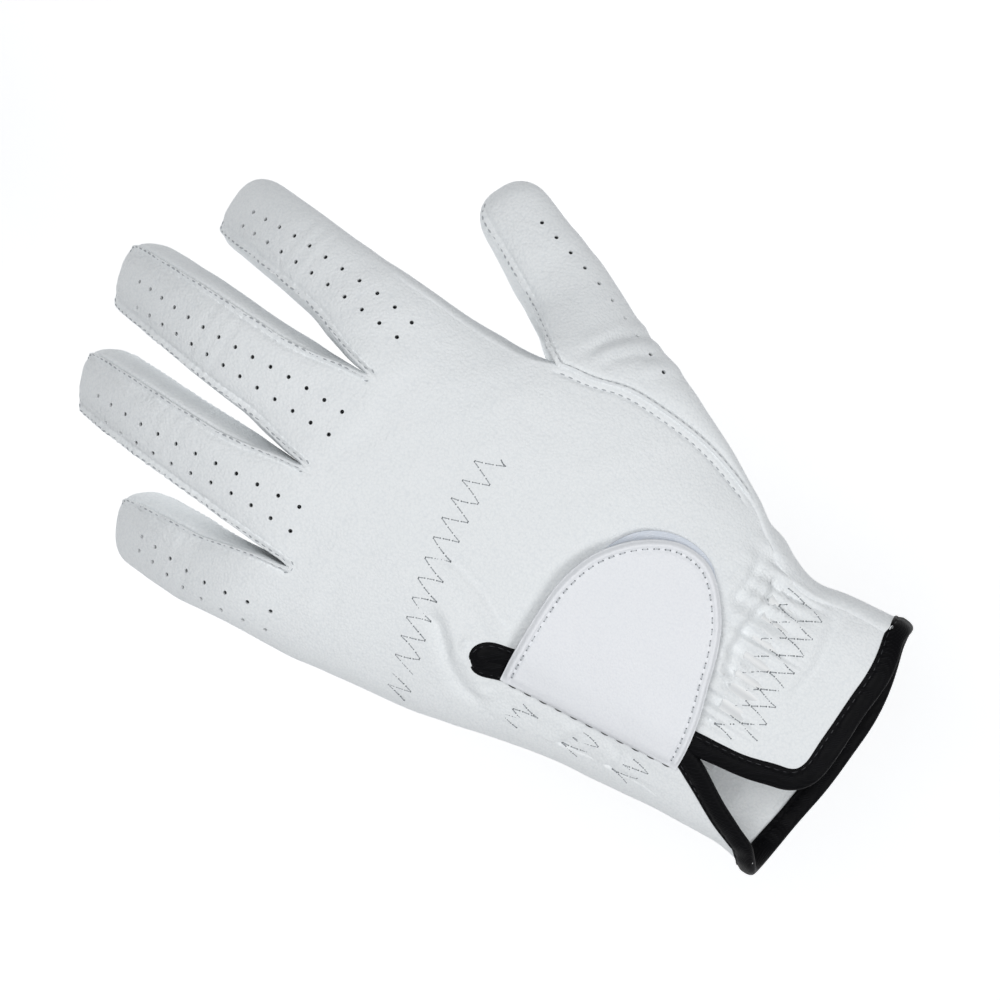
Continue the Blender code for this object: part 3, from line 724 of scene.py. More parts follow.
# Cabretta: thin, soft sheepskin, tanned white and left matt. Its fine grain shows as
# small pebbles 0.7 mm across, coarser than the real grain so that they show, with painted
# shade in the shallow valleys: a darker, cooler white there.
TINT_PATCH = 0.018       # the tanned white drifts in tone over patches of this size


def finish(tree, shader, colour, relief):
    """Gives the shader its colour and its last bump."""
    tree.links.new(colour.outputs[2], shader.inputs["Base Color"])
    tree.links.new(relief.outputs[0], shader.inputs["Normal"])


def leather_material(name, light, dark, pebble, depth, roughness):
    material, tree, shader = new_material(name, Roughness=roughness, Specular_IOR_Level=0.35)
    place = node(tree, "ShaderNodeTexCoord").outputs["Object"]
    pebbles = node(tree, "ShaderNodeTexVoronoi", {"feature": "F1"}, Vector=place,
                   Scale=1 / pebble).outputs["Distance"]
    pores = node(tree, "ShaderNodeTexNoise", Vector=place, Scale=1.1 / pebble, Detail=3.0).outputs["Fac"]
    broad = node(tree, "ShaderNodeTexNoise", Vector=place, Scale=1 / TINT_PATCH, Detail=2.0).outputs["Fac"]
    tint = node(tree, "ShaderNodeMix", {"data_type": "RGBA"}, _0=broad, _6=linear(light[0]),
                _7=linear(light[1]))
    # Painted shade: the valleys between the pebbles take the darker colour.
    valley_shade = node(tree, "ShaderNodeMapRange", Value=pebbles, From_Min=0.35, From_Max=0.9, To_Max=0.5)
    colour = node(tree, "ShaderNodeMix", {"data_type": "RGBA"}, _0=valley_shade.outputs[0], _6=tint.outputs[2],
                  _7=linear(dark))
    drape = node(tree, "ShaderNodeTexNoise", Vector=place, Scale=5 / (pebble * 40), Detail=4.0,
                 Distortion=0.8)
    soft = node(tree, "ShaderNodeBump", Strength=0.6, Distance=depth * 2.5, Height=drape.outputs["Fac"])
    grain = node(tree, "ShaderNodeBump", {"invert": True}, Strength=0.6, Distance=depth, Height=pebbles,
                 Normal=soft.outputs[0])
    fine = node(tree, "ShaderNodeBump", Strength=0.6, Distance=depth, Height=pores, Normal=grain.outputs[0])
    finish(tree, shader, colour, fine)
    return material


CABRETTA = leather_material("white_cabretta_leather", ("#eef1f2", "#f2f4f5"), "#e2e6e9",
                            0.0007, 0.00018, 0.58)


def to_metres(points):
    return (np.asarray(points) - ORIGIN) * MM


def place_mesh(name, points, faces, material):
    mesh = bpy.data.meshes.new(name)
    mesh.from_pydata(to_metres(points).tolist(), [], faces)
    mesh.validate()
    mesh.shade_smooth()
    mesh.materials.append(material)
    return added(name, mesh)


def grown(piece, group, settings):
    """Runs a geometry-node tree on a piece and keeps the result as a plain mesh."""
    modifier = piece.modifiers.new(group.name, "NODES")
    modifier.node_group = group
    for item in group.interface.items_tree:
        if item.in_out == "INPUT" and item.name in settings:
            modifier[item.identifier] = settings[item.name]
    mesh = bpy.data.meshes.new_from_object(piece.evaluated_get(bpy.context.evaluated_depsgraph_get()))
    piece.modifiers.remove(modifier)
    piece.data = mesh
    return piece


def new_group(name, inputs):
    group = bpy.data.node_groups.new(name, "GeometryNodeTree")
    group.interface.new_socket("Geometry", in_out="INPUT", socket_type="NodeSocketGeometry")
    group.interface.new_socket("Geometry", in_out="OUTPUT", socket_type="NodeSocketGeometry")
    for label, kind in inputs.items():
        group.interface.new_socket(label, in_out="INPUT", socket_type="NodeSocket" + kind)
    return group, node(group, "NodeGroupInput").outputs


def points_mesh(name, points, along):
    """Loose points, each with the direction that its repeated shape lies along."""
    mesh = bpy.data.meshes.new(name)
    mesh.from_pydata(to_metres(points).tolist(), [], [])
    lengths = np.linalg.norm(along, axis=1)
    mesh.attributes.new("along", "FLOAT_VECTOR", "POINT").data.foreach_set(
        "vector", (along / lengths[:, None]).ravel())
    mesh.attributes.new("length", "FLOAT", "POINT").data.foreach_set("value", lengths * MM)
    return added(name, mesh)


def end_tree(group, given, shape):
    """Gives the finished, realised shape its material."""
    dressed = node(group, "GeometryNodeSetMaterial", Geometry=shape.outputs[0], Material=given["Material"])
    node(group, "NodeGroupOutput", Geometry=dressed.outputs[0])
    return group


def turned_along(group):
    along = node(group, "GeometryNodeInputNamedAttribute", {"data_type": "FLOAT_VECTOR"}, Name="along")
    return node(group, "FunctionNodeAlignRotationToVector", {"axis": "Z"}, Vector=along.outputs["Attribute"])


# Ventilation holes punched through the leather, 1.1 mm across, in two rows along the
# back of each finger and of the thumb. The rows run on a little into the hand.
HOLE = 1.1
PIN_LENGTH = 0.0024


def punch_tree():
    inputs = {"Punches": "Object", "Hole radius": "Float", "Material": "Material"}
    group, given = new_group("punched_holes", inputs)
    marks = node(group, "GeometryNodeObjectInfo", {"transform_space": "RELATIVE"}, Object=given["Punches"])
    pin = node(group, "GeometryNodeMeshCylinder", Vertices=14, Radius=given["Hole radius"], Depth=PIN_LENGTH)
    pins = node(group, "GeometryNodeInstanceOnPoints", Points=marks.outputs["Geometry"],
                Instance=pin.outputs["Mesh"], Rotation=turned_along(group).outputs[0])
    whole = node(group, "GeometryNodeRealizeInstances", Geometry=pins.outputs[0])
    cut = node(group, "GeometryNodeMeshBoolean", {"operation": "DIFFERENCE", "solver": "MANIFOLD"},
               _0=given["Geometry"], _1=whole.outputs[0])
    return end_tree(group, given, node(group, "GeometryNodeRealizeInstances", Geometry=cut.outputs[0]))


UPPER = np.flatnonzero(HIDE_NORMALS[:, 2] > 0.06)
UPPER_TREE = KDTree(len(UPPER))
for k, index in enumerate(UPPER):
    UPPER_TREE.insert((HIDE_POINTS[index][0], HIDE_POINTS[index][1], 0), k)
UPPER_TREE.balance()


def on_skin(x, y):
    """The highest point of the glove at x, y, and its normal."""
    found = UPPER_TREE.find_n((x, y, 0), 9)
    top = max(HIDE_POINTS[UPPER[k]][2] for _, k, _ in found)
    found = [(k, d) for _, k, d in found if HIDE_POINTS[UPPER[k]][2] > top - 3]
    picked = UPPER[[k for k, _ in found]]
    weight = np.array([1 / (d + 0.05) ** 2 for _, d in found])[:, None]
    normal = np.sum(HIDE_NORMALS[picked] * weight, axis=0)
    z = np.sum(HIDE_POINTS[picked][:, 2:] * weight) / np.sum(weight)
    return np.array([x, y, z]), normal / np.linalg.norm(normal)


# Each row: the finger, its count of holes, where it starts and ends along the finger, and
# how the row drifts sideways: (y, x) pairs.
HOLE_ROWS = [
    (INDEX, 11, -2, 55.6, ([64, 70, 90, 101, 113], [28.6, 29.5, 30.3, 30.6, 30])),
    (INDEX, 11, -1, 56.2, ([65, 71, 90, 113], [23.5, 24, 25, 25.5])),
    (MIDDLE_FINGER, 14, -1, 69.2, ([66, 83, 94, 112, 127], [0.3, 0, -1, -1.7, -1.2])),
    (MIDDLE_FINGER, 13, -1.4, 64.4, ([66, 90, 122], [-6.3, -6.7, -7])),
    (RING_FINGER, 12, -5.4, 60.6, ([62, 80, 97, 107, 120], [-25.5, -27.5, -30, -31, -31.5])),
    (RING_FINGER, 12, -6.9, 58.6, ([60, 80, 96, 117], [-31.8, -32.5, -35, -36])),
    (LITTLE, 8, -3, 40.6, ([53, 60, 70, 91], [-51.5, -53, -55, -55.2])),
    (LITTLE, 8, -4.4, 38.6, ([52, 63, 75, 89], [-56.4, -58.4, -59.5, -58.6])),
]
holes = []
for digit, count, first, last, (knots, values) in HOLE_ROWS:
    for s in np.linspace(first, last, count):
        y = float(digit.frame(s)[0][1])
        holes.append(on_skin(float(through(knots, values, y)), y))
for shift, drop in ((0, 0), (6.2, -2.6)):
    for y in np.linspace(52, 5, 10):
        x = float(through([5, 15, 25, 41, 52], [54, 58, 62, 66.5, 69], y))
        holes.append(on_skin(x + shift, y + drop))
punches = points_mesh("punches", *(np.array(part) for part in zip(*holes)))
PUNCH = punch_tree()


def leather_piece(name, patches, keep=None):
    """A closed, punched leather shell from patches of the welded skin, thickened inwards."""
    quads = np.concatenate([HIDE.faces[p] for p in patches])
    if keep is not None:
        quads = quads[keep(HIDE_POINTS[quads].mean(axis=1))]
    used, index = np.unique(quads, return_inverse=True)
    quads = index.reshape(quads.shape)
    outer, normals = HIDE_POINTS[used], HIDE_NORMALS[used]
    count = len(used)
    faces, edges = [], {}
    for quad in quads.tolist():
        face = [v for k, v in enumerate(quad) if v != quad[k - 1]]
        if len(set(face)) < 3:
            continue
        faces.append(face)
        faces.append([v + count for v in face[::-1]])
        for k, v in enumerate(face):
            if (v, face[k - 1]) in edges:
                del edges[v, face[k - 1]]
            else:
                edges[face[k - 1], v] = True
    faces.extend([[b, a, a + count, b + count] for a, b in edges])
    piece = place_mesh(name, np.concatenate([outer, outer - normals * THICKNESS]), faces, CABRETTA)
    grown(piece, PUNCH, {"Punches": punches, "Hole radius": HOLE / 2 * MM, "Material": CABRETTA})
    shade_as_skin(piece.data, outer, normals)
    return piece


IN_SKIN = 0.55           # how nearly a face must point along the skin's normal


def shade_as_skin(mesh, outer, normals):
    """Gives every face that lies in the skin the welded skin's normals."""
    near = KDTree(len(outer))
    for k, point in enumerate(to_metres(outer)):
        near.insert(point, k)
    near.balance()
    nearest = np.array([near.find(v.co)[1] for v in mesh.vertices])
    flat = np.empty(len(mesh.polygons) * 3)
    mesh.polygons.foreach_get("normal", flat)
    flat = flat.reshape(-1, 3)
    corner = np.empty(len(mesh.loops), int)
    mesh.loops.foreach_get("vertex_index", corner)
    starts = np.array([p.loop_start for p in mesh.polygons])
    owner = np.searchsorted(starts, np.arange(len(mesh.loops)), side="right") - 1
    face, smooth_normal = flat[owner], normals[nearest[corner]]
    facing = np.sum(face * smooth_normal, axis=1)
    result = np.where((facing > IN_SKIN)[:, None], smooth_normal, face)
    result = np.where((facing < -IN_SKIN)[:, None], -smooth_normal, result)
    mesh.shade_smooth()
    mesh.normals_split_custom_set(result.tolist())


def slit_arm(y, side):
    """Edge line of the slit on the ulnar (-1) or thumb (1) side."""
    if side < 0:
        return through([-84, -77, -70, -60, -55, -50, -30, -10, -4, 0],
                       [-36.6, -34.2, -31.4, -26.6, -24.2, -23, -26, -29.2, -31, -32.4], y)
    return through([-84, -77, -70, -60, -50, -20, 0], [-10.5, -14.2, -16.8, -18.5, -20, -24.4, -28.3], y)


KEYHOLE, KEYHOLE_HALF = (-30.6, 0.8), (2.1, 3.4)
LEAN = (math.cos(math.radians(35)), math.sin(math.radians(35)))
CORNER_RADIUS = 7.5
CORNER_X, CORNER_Y = slit_arm(-75.5, 1) + CORNER_RADIUS, -83.2 + CORNER_RADIUS
BACK_Z = 17              # the slit is cut through the back only


def keyhole_rim(turn):
    """The slit's rounded end: an oval that leans towards the little finger."""
    u, v = KEYHOLE_HALF[0] * math.cos(turn), KEYHOLE_HALF[1] * math.sin(turn)
    return KEYHOLE[0] + LEAN[0] * u - LEAN[1] * v, KEYHOLE[1] + LEAN[1] * u + LEAN[0] * v


def outside_slit(centres):
    x, y, z = centres.T
    in_arms = (y < 0.6) & (x > slit_arm(y, -1)) & (x < slit_arm(y, 1))
    dx, dy = x - KEYHOLE[0], y - KEYHOLE[1]
    u, v = LEAN[0] * dx + LEAN[1] * dy, LEAN[0] * dy - LEAN[1] * dx
    in_keyhole = (u / KEYHOLE_HALF[0]) ** 2 + (v / KEYHOLE_HALF[1]) ** 2 < 1
    past_corner = (y < CORNER_Y) & (x < CORNER_X) & (np.hypot(x - CORNER_X, y - CORNER_Y) > CORNER_RADIUS)
    past_corner &= x > slit_arm(y, -1)
    return ~((in_arms | in_keyhole | past_corner) & (z > BACK_Z))


hand = leather_piece("hand_leather", ["back", "palm", "ulnar_side", "wrist_side", "index_side"], outside_slit)
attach(hand, "hand")
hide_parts("back_panel", "palm_panel", "index_side_wrap", "wrist_side")
thumb_root = leather_piece("thumb_base_leather", ["thumb_base"])
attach(thumb_root, "hand")
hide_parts("thumb_base")


def follow(piece, digit, part):
    """Bakes a piece's placement into its mesh; the digit's base (lower) or middle (upper) bend zone is found
    but not used.
    """
    low, high = digit.zones[:2] if part == "lower" else digit.zones[2:]
    tuple(to_metres(digit.frame(low)[0]))
    tuple(to_metres(digit.frame(high)[0]))
    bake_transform(piece)


for digit in DIGITS:
    for part, cad_part, bend in (("lower", "_lower_", "_base_bend"), ("upper", "_tip_", "_middle_bend")):
        patches = [f"{digit.name}_{arc}_{part}" for arc, _ in ARCS]
        piece = leather_piece(f"{digit.name}_{part}_leather", patches)
        follow(piece, digit, part)
        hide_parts(*[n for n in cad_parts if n.startswith(digit.name + cad_part)
                             or n == digit.name + bend])

# ---------------------------------------------------------------- seam stitches
# White polyester thread, drawn grey: the grey is painted shade where it sinks into the
# leather. Every finger seam is sewn 1.75 mm from its folded edge. Real thread is about
# 0.35 mm thick: it is drawn 0.48 mm thick so that it shows.
THREAD = 0.48
STRAND = 0.0003


def thread_material(name, colour, roughness):
    """Twisted thread: fine slanted strands."""
    material, tree, shader = new_material(name, Roughness=roughness)
    place = node(tree, "ShaderNodeTexCoord").outputs["Object"]
    strands = node(tree, "ShaderNodeTexNoise", Vector=place, Scale=1 / STRAND, Detail=1.0).outputs["Fac"]
    mix = node(tree, "ShaderNodeMix", {"data_type": "RGBA"}, _0=strands, _6=linear(colour[0]),
               _7=linear(colour[1]))
    ridge = node(tree, "ShaderNodeBump", Strength=0.5, Distance=0.00005, Height=strands)
    finish(tree, shader, mix, ridge)
    return material


# Painted shade: the seam thread is white; its grey is painted shade.
SHADE_GREY_SEAM_THREAD = thread_material("greyed_polyester_thread", ("#a0a4a8", "#babdc1"), 0.6)
WHITE_THREAD = thread_material("white_polyester_thread", ("#c3c7cb", "#dcdfe1"), 0.6)
# Painted shade: the zigzag thread is white; its darker grey is painted shade.
ZIGZAG_SHADE_GREY_THREAD = thread_material("zigzag_polyester_thread", ("#94989c", "#aeb2b5"), 0.6)
# Painted shade: dark dots stand for the shade inside the needle holes at stitch ends.
NEEDLE_HOLE_SHADE = thread_material("shadowed_needle_hole", ("#63676b", "#777b7f"), 0.9)


def stitch_tree():
    group, given = new_group("row_of_stitches", {"Thread radius": "Float", "Material": "Material"})
    length = node(group, "GeometryNodeInputNamedAttribute", {"data_type": "FLOAT"}, Name="length")
    half = node(group, "ShaderNodeMath", {"operation": "MULTIPLY"}, _0=length.outputs["Attribute"], _1=0.5)
    size = node(group, "ShaderNodeCombineXYZ", X=given["Thread radius"], Y=given["Thread radius"],
                Z=half.outputs[0])
    bead = node(group, "GeometryNodeMeshUVSphere", Segments=7, Rings=6, Radius=1.0)
    stitches = node(group, "GeometryNodeInstanceOnPoints", Points=given["Geometry"],
                    Instance=bead.outputs["Mesh"], Rotation=turned_along(group).outputs[0],
                    Scale=size.outputs[0])
    real = node(group, "GeometryNodeRealizeInstances", Geometry=stitches.outputs[0])
    return end_tree(group, given, node(group, "GeometryNodeSetShadeSmooth", Geometry=real.outputs[0]))


STITCHES = stitch_tree()
# Painted shade: the dark dot at a needle hole is sunk this deep.
NEEDLE_SHADE_SINK = 0.16         # how deep a needle hole's centre lies


def stitches_on(points, normals, pitch, share, sink=0.1):
    """Stitch centres, directions and the dots of painted shade at their needle holes, evenly along a line on
    the skin.
    """
    points, normals = np.asarray(points), np.asarray(normals)
    far = far_along(points)
    count = max(1, round(far[-1] / pitch))
    starts = np.linspace(0, far[-1], count + 1)[:-1] + far[-1] / count * (1 - share) / 2
    ends = starts + far[-1] / count * share
    a, b = at_distance(starts, far, points), at_distance(ends, far, points)
    up = unit(at_distance((starts + ends) / 2, far, normals))
    both = np.tile(up, (2, 1))
    return (a + b) / 2 - up * sink, b - a, np.concatenate([a, b]) - both * NEEDLE_SHADE_SINK, both


def sew(name, runs, material, radius, holes=0.0):
    """Joins runs of stitches into one piece of thread, and the dark dots of painted shade at their needle
    holes with it.
    """
    centres = np.concatenate([run[0] for run in runs])
    along = np.concatenate([run[1] for run in runs])
    made = grown(points_mesh(name, centres, along), STITCHES,
                 {"Thread radius": radius * MM, "Material": material})
    # Dark dots of painted shade at the needle holes.
    if holes:
        places = np.concatenate([run[2] for run in runs])
        ups = np.concatenate([run[3] for run in runs]) * 0.5
        shade_dots = grown(points_mesh(name + "_holes", places, ups), STITCHES,
                     {"Thread radius": holes * MM, "Material": NEEDLE_HOLE_SHADE})
        with bpy.context.temp_override(active_object=made, selected_editable_objects=[made, shade_dots]):
            bpy.ops.object.join()
    return made


def seam_line(name, column_from, distance):
    """Points and normals on a patch's finished skin, at a distance from one of its edges."""
    ids = HIDE.grids[name]
    points, normals = HIDE_POINTS[ids], HIDE_NORMALS[ids]
    if column_from < 0:
        points, normals = points[:, ::-1], normals[:, ::-1]
    far = along_rows(points)
    picked = [[np.interp(distance, far[r], source[r, :, k]) for k in range(3)]
              for source in (points, normals) for r in range(len(points))]
    return np.array(picked[:len(points)]), np.array(picked[len(points):])


for digit in DIGITS:
    for part in ("lower", "upper"):
        runs = []
        for arc, ends in (("back", ("ulnar", "radial")), ("palm", ("radial", "ulnar"))):
            for wall, column_from in zip(ends, (1, -1)):
                if digit.sewn(wall):
                    line, up = seam_line(f"{digit.name}_{arc}_{part}", column_from, STITCH_LINE)
                    if part == "upper":
                        line, up = line[:-7], up[:-7]
                    runs.append(stitches_on(line, up, STITCH_PITCH, 0.72))
        follow(sew(f"{digit.name}_{part}_seam_stitches", runs, SHADE_GREY_SEAM_THREAD, THREAD / 2), digit, part)

crotch_runs = []
for x, y in CROTCHES:
    arc = [on_skin(x + STITCH_LINE * math.cos(a), y + STITCH_LINE * math.sin(a))
           for a in np.linspace(math.pi, 2 * math.pi, 12)]
    crotch_runs.append(stitches_on([p for p, _ in arc], [n for _, n in arc], 1.9, 0.62))
for patch, column_from, distance in (("back", -1, 1.9), ("thumb_base", 1, 1.6), ("palm", -1, 1.9),
                                     ("thumb_base", -1, 1.6)):
    line, up = seam_line(patch, column_from, distance)
    keep = (line[:, 1] > -30) & (line[:, 1] < 27)
    crotch_runs.append(stitches_on(line[keep], up[keep], STITCH_PITCH, 0.62))
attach(sew("hand_seam_stitches", crotch_runs, SHADE_GREY_SEAM_THREAD, THREAD / 2), "hand")

# ---------------------------------------------------------------- zigzag stitches
# Elastic tapes inside are caught by machine zigzag: one row across the knuckles, a double
# row round the wrist and short ones on the little-finger flap. The white thread is drawn
# darker grey than the seams', which is painted shade, and a dark dot of painted shade
# sits in the needle hole at each end of a stitch.


def zigzag(tops, feet):
    """Every leg of a zigzag between two lists of (x, y), three stitches to a leg."""
    corners = [corner for pair in zip(tops, feet) for corner in pair]
    legs = []
    for (ax, ay), (bx, by) in zip(corners, corners[1:]):
        bow = 0.35 * math.sin(3.1 * ax + 1.7 * by)
        line = [on_skin(ax + (bx - ax) * t + bow * t * (1 - t) * 4, ay + (by - ay) * t)
                for t in np.linspace(0, 1, 7)]
        points, normals = [p for p, _ in line], [n for _, n in line]
        length = math.dist((ax, ay), (bx, by))
        legs.append(stitches_on(points, normals, length / 3, 0.66, sink=0.08))
    return legs


top_x = [12.6, 8.6, 2.9, -2.3, -7.7, -13, -18.4, -23.6, -28.6, -33.5, -38.2, -43, -47.3, -50.6]
top_y = [26.6, 32.3, 32.1, 31.9, 31.1, 30.1, 29, 27.6, 26, 24.5, 23.1, 21.6, 20.2, 18.9]
tops = list(zip(top_x, top_y))
feet = [((ax + bx) / 2, (ay + by) / 2 - 7.1) for (ax, ay), (bx, by) in zip(tops, tops[1:])]
feet[0] = (11.9, 24.7)
runs = zigzag(tops, feet + [(-52, 12.6)])
inner = [(26.4 - GATHER_PITCH * k, -51.7 - 0.46 * k) for k in range(9)]
middle_row = [(x - 0.9, y - 6.1) for x, y in inner]
outer = [(x - 1.5, y - 6.2) for x, y in middle_row]
runs += zigzag(inner, middle_row) + zigzag(middle_row[:8], outer[:8])
for start_x, start_y in ((-35.4, -12.4), (-33, -29.2), (-31.6, -43.6)):
    row = [(start_x - 2.6 * k, start_y + 1.5 * k) for k in range(3)]
    runs += zigzag(row, [(x - 1, y - 5.6) for x, y in row])
# The zigzag's needle holes get dark dots of painted shade.
zigzags = sew("zigzag_stitches", runs, ZIGZAG_SHADE_GREY_THREAD, 0.19, holes=0.27)
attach(zigzags, "hand")

# ---------------------------------------------------------------- elastic tapes
# Three tapes of woven white elastic, sewn inside by the zigzags and seen only through the
# cuff. Their CAD shapes are right, so they stay and take a ribbed cloth finish.
RIB = 0.008
ELASTIC, tree, shader = new_material("white_woven_elastic", Roughness=0.85)
place = node(tree, "ShaderNodeTexCoord").outputs["Object"]
ribs = node(tree, "ShaderNodeTexWave", {"bands_direction": "X"}, Vector=place, Scale=1 / RIB, Distortion=0.4)
cloth = node(tree, "ShaderNodeMix", {"data_type": "RGBA"}, _0=ribs.outputs["Fac"], _6=linear("#d9dbdc"),
             _7=linear("#eceded"))
raised_ribs = node(tree, "ShaderNodeBump", Strength=0.6, Distance=0.0003, Height=ribs.outputs["Fac"])
finish(tree, shader, cloth, raised_ribs)
for name in ("back_elastic", "wrist_elastic_back", "wrist_elastic_palm"):
    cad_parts[name].data.materials.clear()
    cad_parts[name].data.materials.append(ELASTIC)

# ---------------------------------------------------------------- black binding
# A folded strip of black polyester satin wraps the raw edge of the slit and the cuff. It
# is 5.9 mm wide and puffed to 3.1 mm, and black stitches dent it 1.15 mm from its edge.
BAND_WIDTH, BAND_HEIGHT = 5.9, 3.1
BAND_SEAM, BAND_PITCH = 1.15, 2.4
WEAVE_PATCH = 0.004      # the weave's tone is uneven over this size


def fabric_material(name, dark, light, thread, roughness, shine, sheen):
    """Plain weave: two fine crossed waves, uneven in tone."""
    material, tree, shader = new_material(name, Roughness=roughness, Specular_IOR_Level=shine,
                                          Sheen_Weight=sheen, Sheen_Roughness=0.4)
    place = node(tree, "ShaderNodeTexCoord").outputs["Object"]
    waves = [node(tree, "ShaderNodeTexWave", {"bands_direction": way}, Vector=place, Scale=0.32 / thread,
                  Distortion=1.5, Detail=1.0).outputs["Fac"] for way in ("DIAGONAL", "Z")]
    weave = node(tree, "ShaderNodeMath", {"operation": "MULTIPLY"}, _0=waves[0], _1=waves[1])
    patchy = node(tree, "ShaderNodeTexNoise", Vector=place, Scale=1 / WEAVE_PATCH, Detail=3.0).outputs["Fac"]
    tone = node(tree, "ShaderNodeMath", {"operation": "MULTIPLY"}, _0=weave.outputs[0], _1=patchy)
    colour = node(tree, "ShaderNodeMix", {"data_type": "RGBA"}, _0=tone.outputs[0], _6=linear(dark),
                  _7=linear(light))
    raised = node(tree, "ShaderNodeBump", Strength=0.5, Distance=thread / 3, Height=weave.outputs[0])
    finish(tree, shader, colour, raised)
    return material


SATIN = fabric_material("black_satin_binding", "#070709", "#141418", 0.0004, 0.5, 0.08, 0.0)


def section_normal(points):
    """Outward normals of the hand's boxy oval section."""
    centre, half, middle = section(points[:, 1])
    reach = np.where(points[:, 2] > middle, through(STATIONS, RISE, points[:, 1]),
                     through(STATIONS, FALL, points[:, 1]))
    across = (points[:, 0] - centre) / half
    up = (points[:, 2] - middle) / reach
    return unit(np.stack([squared(across, ROUND - 1) / half, 0 * up, squared(up, ROUND - 1) / reach], -1))


def resampled(points, pitch):
    far = far_along(points)
    at = np.linspace(0, far[-1], round(far[-1] / pitch) + 1)
    return at_distance(at, far, points), at


def rounded_path(points, times):
    for _ in range(times):
        points = np.concatenate([points[:1], (points[:-2] + 2 * points[1:-1] + points[2:]) / 4, points[-1:]])
    return points


def tape(name, points, width, height, material):
    """A closed band along a ring of points: puffed, with a stitched dent near its inner edge."""
    points, far = resampled(points, 0.55)
    points = points[:-1]
    points = np.stack([sum(np.roll(points[:, k], j) for j in range(-2, 3)) / 5 for k in range(3)], -1)
    normals = section_normal(points)
    ahead = np.roll(points, -1, axis=0) - np.roll(points, 1, axis=0)
    across = unit(np.cross(normals, ahead))
    normals = unit(np.cross(across, ahead))
    if np.sum(normals * section_normal(points)) < 0:
        normals = -normals
    turn = np.linspace(0, 2 * math.pi, 29)[:-1]
    flat, puffed = squared(np.cos(turn), 0.85), squared(np.sin(turn), 0.8)
    s = far[:-1, None]
    inward = flat * width / 2
    dent = bump(inward - (width / 2 - BAND_SEAM), 0.42) * (0.34 + 0.1 * np.cos(2 * math.pi * s / BAND_PITCH))
    rise = puffed * height / 2 * (1 + 0.07 * np.sin(s / 1.7 + 2 * np.sin(s / 4.1)) - dent) - THICKNESS / 2
    slack = inward * (1 + 0.03 * np.sin(s / 3.3)) + 0.12 * np.sin(s / 5.2)
    grid = points[:, None] + across[:, None] * slack[..., None] + normals[:, None] * rise[..., None]
    rows, cols = len(points), len(turn)
    faces = [[r * cols + c, r * cols + (c + 1) % cols, (r + 1) % rows * cols + (c + 1) % cols,
              (r + 1) % rows * cols + c] for r in range(rows) for c in range(cols)]
    piece = place_mesh(name, grid.reshape(-1, 3), faces, material)
    make_outward(piece)
    return piece, points, across, normals


def make_outward(piece, weld=False):
    """Turns a closed piece's faces outwards, with points that lie together made one."""
    work = bmesh.new()
    work.from_mesh(piece.data)
    if weld:
        bmesh.ops.remove_doubles(work, verts=work.verts, dist=1e-6)
    bmesh.ops.recalc_face_normals(work, faces=work.faces)
    work.to_mesh(piece.data)
    work.free()
    piece.data.shade_smooth()


INSET = 0.9
left_y = np.linspace(-80, -1, 60)
slit_xy = [(float(slit_arm(y, -1)), y) for y in left_y]
slit_xy += [keyhole_rim(a) for a in np.linspace(math.pi, 0, 14)]
slit_xy += [(float(slit_arm(y, 1)), y) for y in np.linspace(-0.5, -74, 56)]
slit_xy += [(CORNER_X + CORNER_RADIUS * math.cos(a), CORNER_Y + CORNER_RADIUS * math.sin(a))
            for a in np.linspace(math.pi, 1.5 * math.pi, 9)]
slit_xy += [(x, float(cuff_line(x, 1)) + INSET) for x in np.linspace(-5, 30.4, 27)]
path = [on_skin(x, y)[0] for x, y in slit_xy]
wall_t = np.linspace(0, 1, 15)
path += list(radial_wall(wall_t, side_cuff("radial", wall_t) + INSET))
path += [skin(x, cuff_line(x, -1) + INSET, -1) for x in np.linspace(28.6, -34, 46)]
ulnar_t = np.linspace(1, 0, 8)
path += list(ulnar_wall(ulnar_t, side_cuff("ulnar", ulnar_t) + INSET))
path.append(path[0])
binding, band_points, band_across, band_up = tape(
    "binding_band", rounded_path(np.array(path), 2), BAND_WIDTH, BAND_HEIGHT, SATIN)
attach(binding, "hand")
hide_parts("slit_binding", "cuff_binding_back", "cuff_binding_palm")
BLACK_THREAD = thread_material("black_polyester_thread", ("#101014", "#26262c"), 0.45)
thread_line = (band_points + band_across * (BAND_WIDTH / 2 - BAND_SEAM)
               + band_up * (BAND_HEIGHT / 2 * 0.62 - THICKNESS / 2))
sewn = sew("binding_stitches", [stitches_on(thread_line, band_up, BAND_PITCH, 0.7, sink=0.02)], BLACK_THREAD,
           0.16)
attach(sewn, "hand")


def lay(name, x, y, top, bottom, material):
    """A closed plate whose upper and lower faces follow the back of the hand."""
    rows, cols = x.shape
    points = np.concatenate([skin(x, y, 1, top).reshape(-1, 3), skin(x, y, 1, bottom).reshape(-1, 3)])
    at = np.arange(rows * cols).reshape(rows, cols)
    under = at + rows * cols
    faces = []
    for layer in (at, under):
        quads = np.stack([layer[:-1, :-1], layer[1:, :-1], layer[1:, 1:], layer[:-1, 1:]], -1)
        faces += quads.reshape(-1, 4).tolist()
    rim = np.concatenate([at[0, :-1], at[:-1, -1], at[-1, :0:-1], at[:0:-1, 0]])
    faces += [[a, b, b + rows * cols, a + rows * cols] for a, b in zip(rim, np.roll(rim, -1))]
    piece = place_mesh(name, points, faces, material)
    make_outward(piece, weld=True)
    return piece


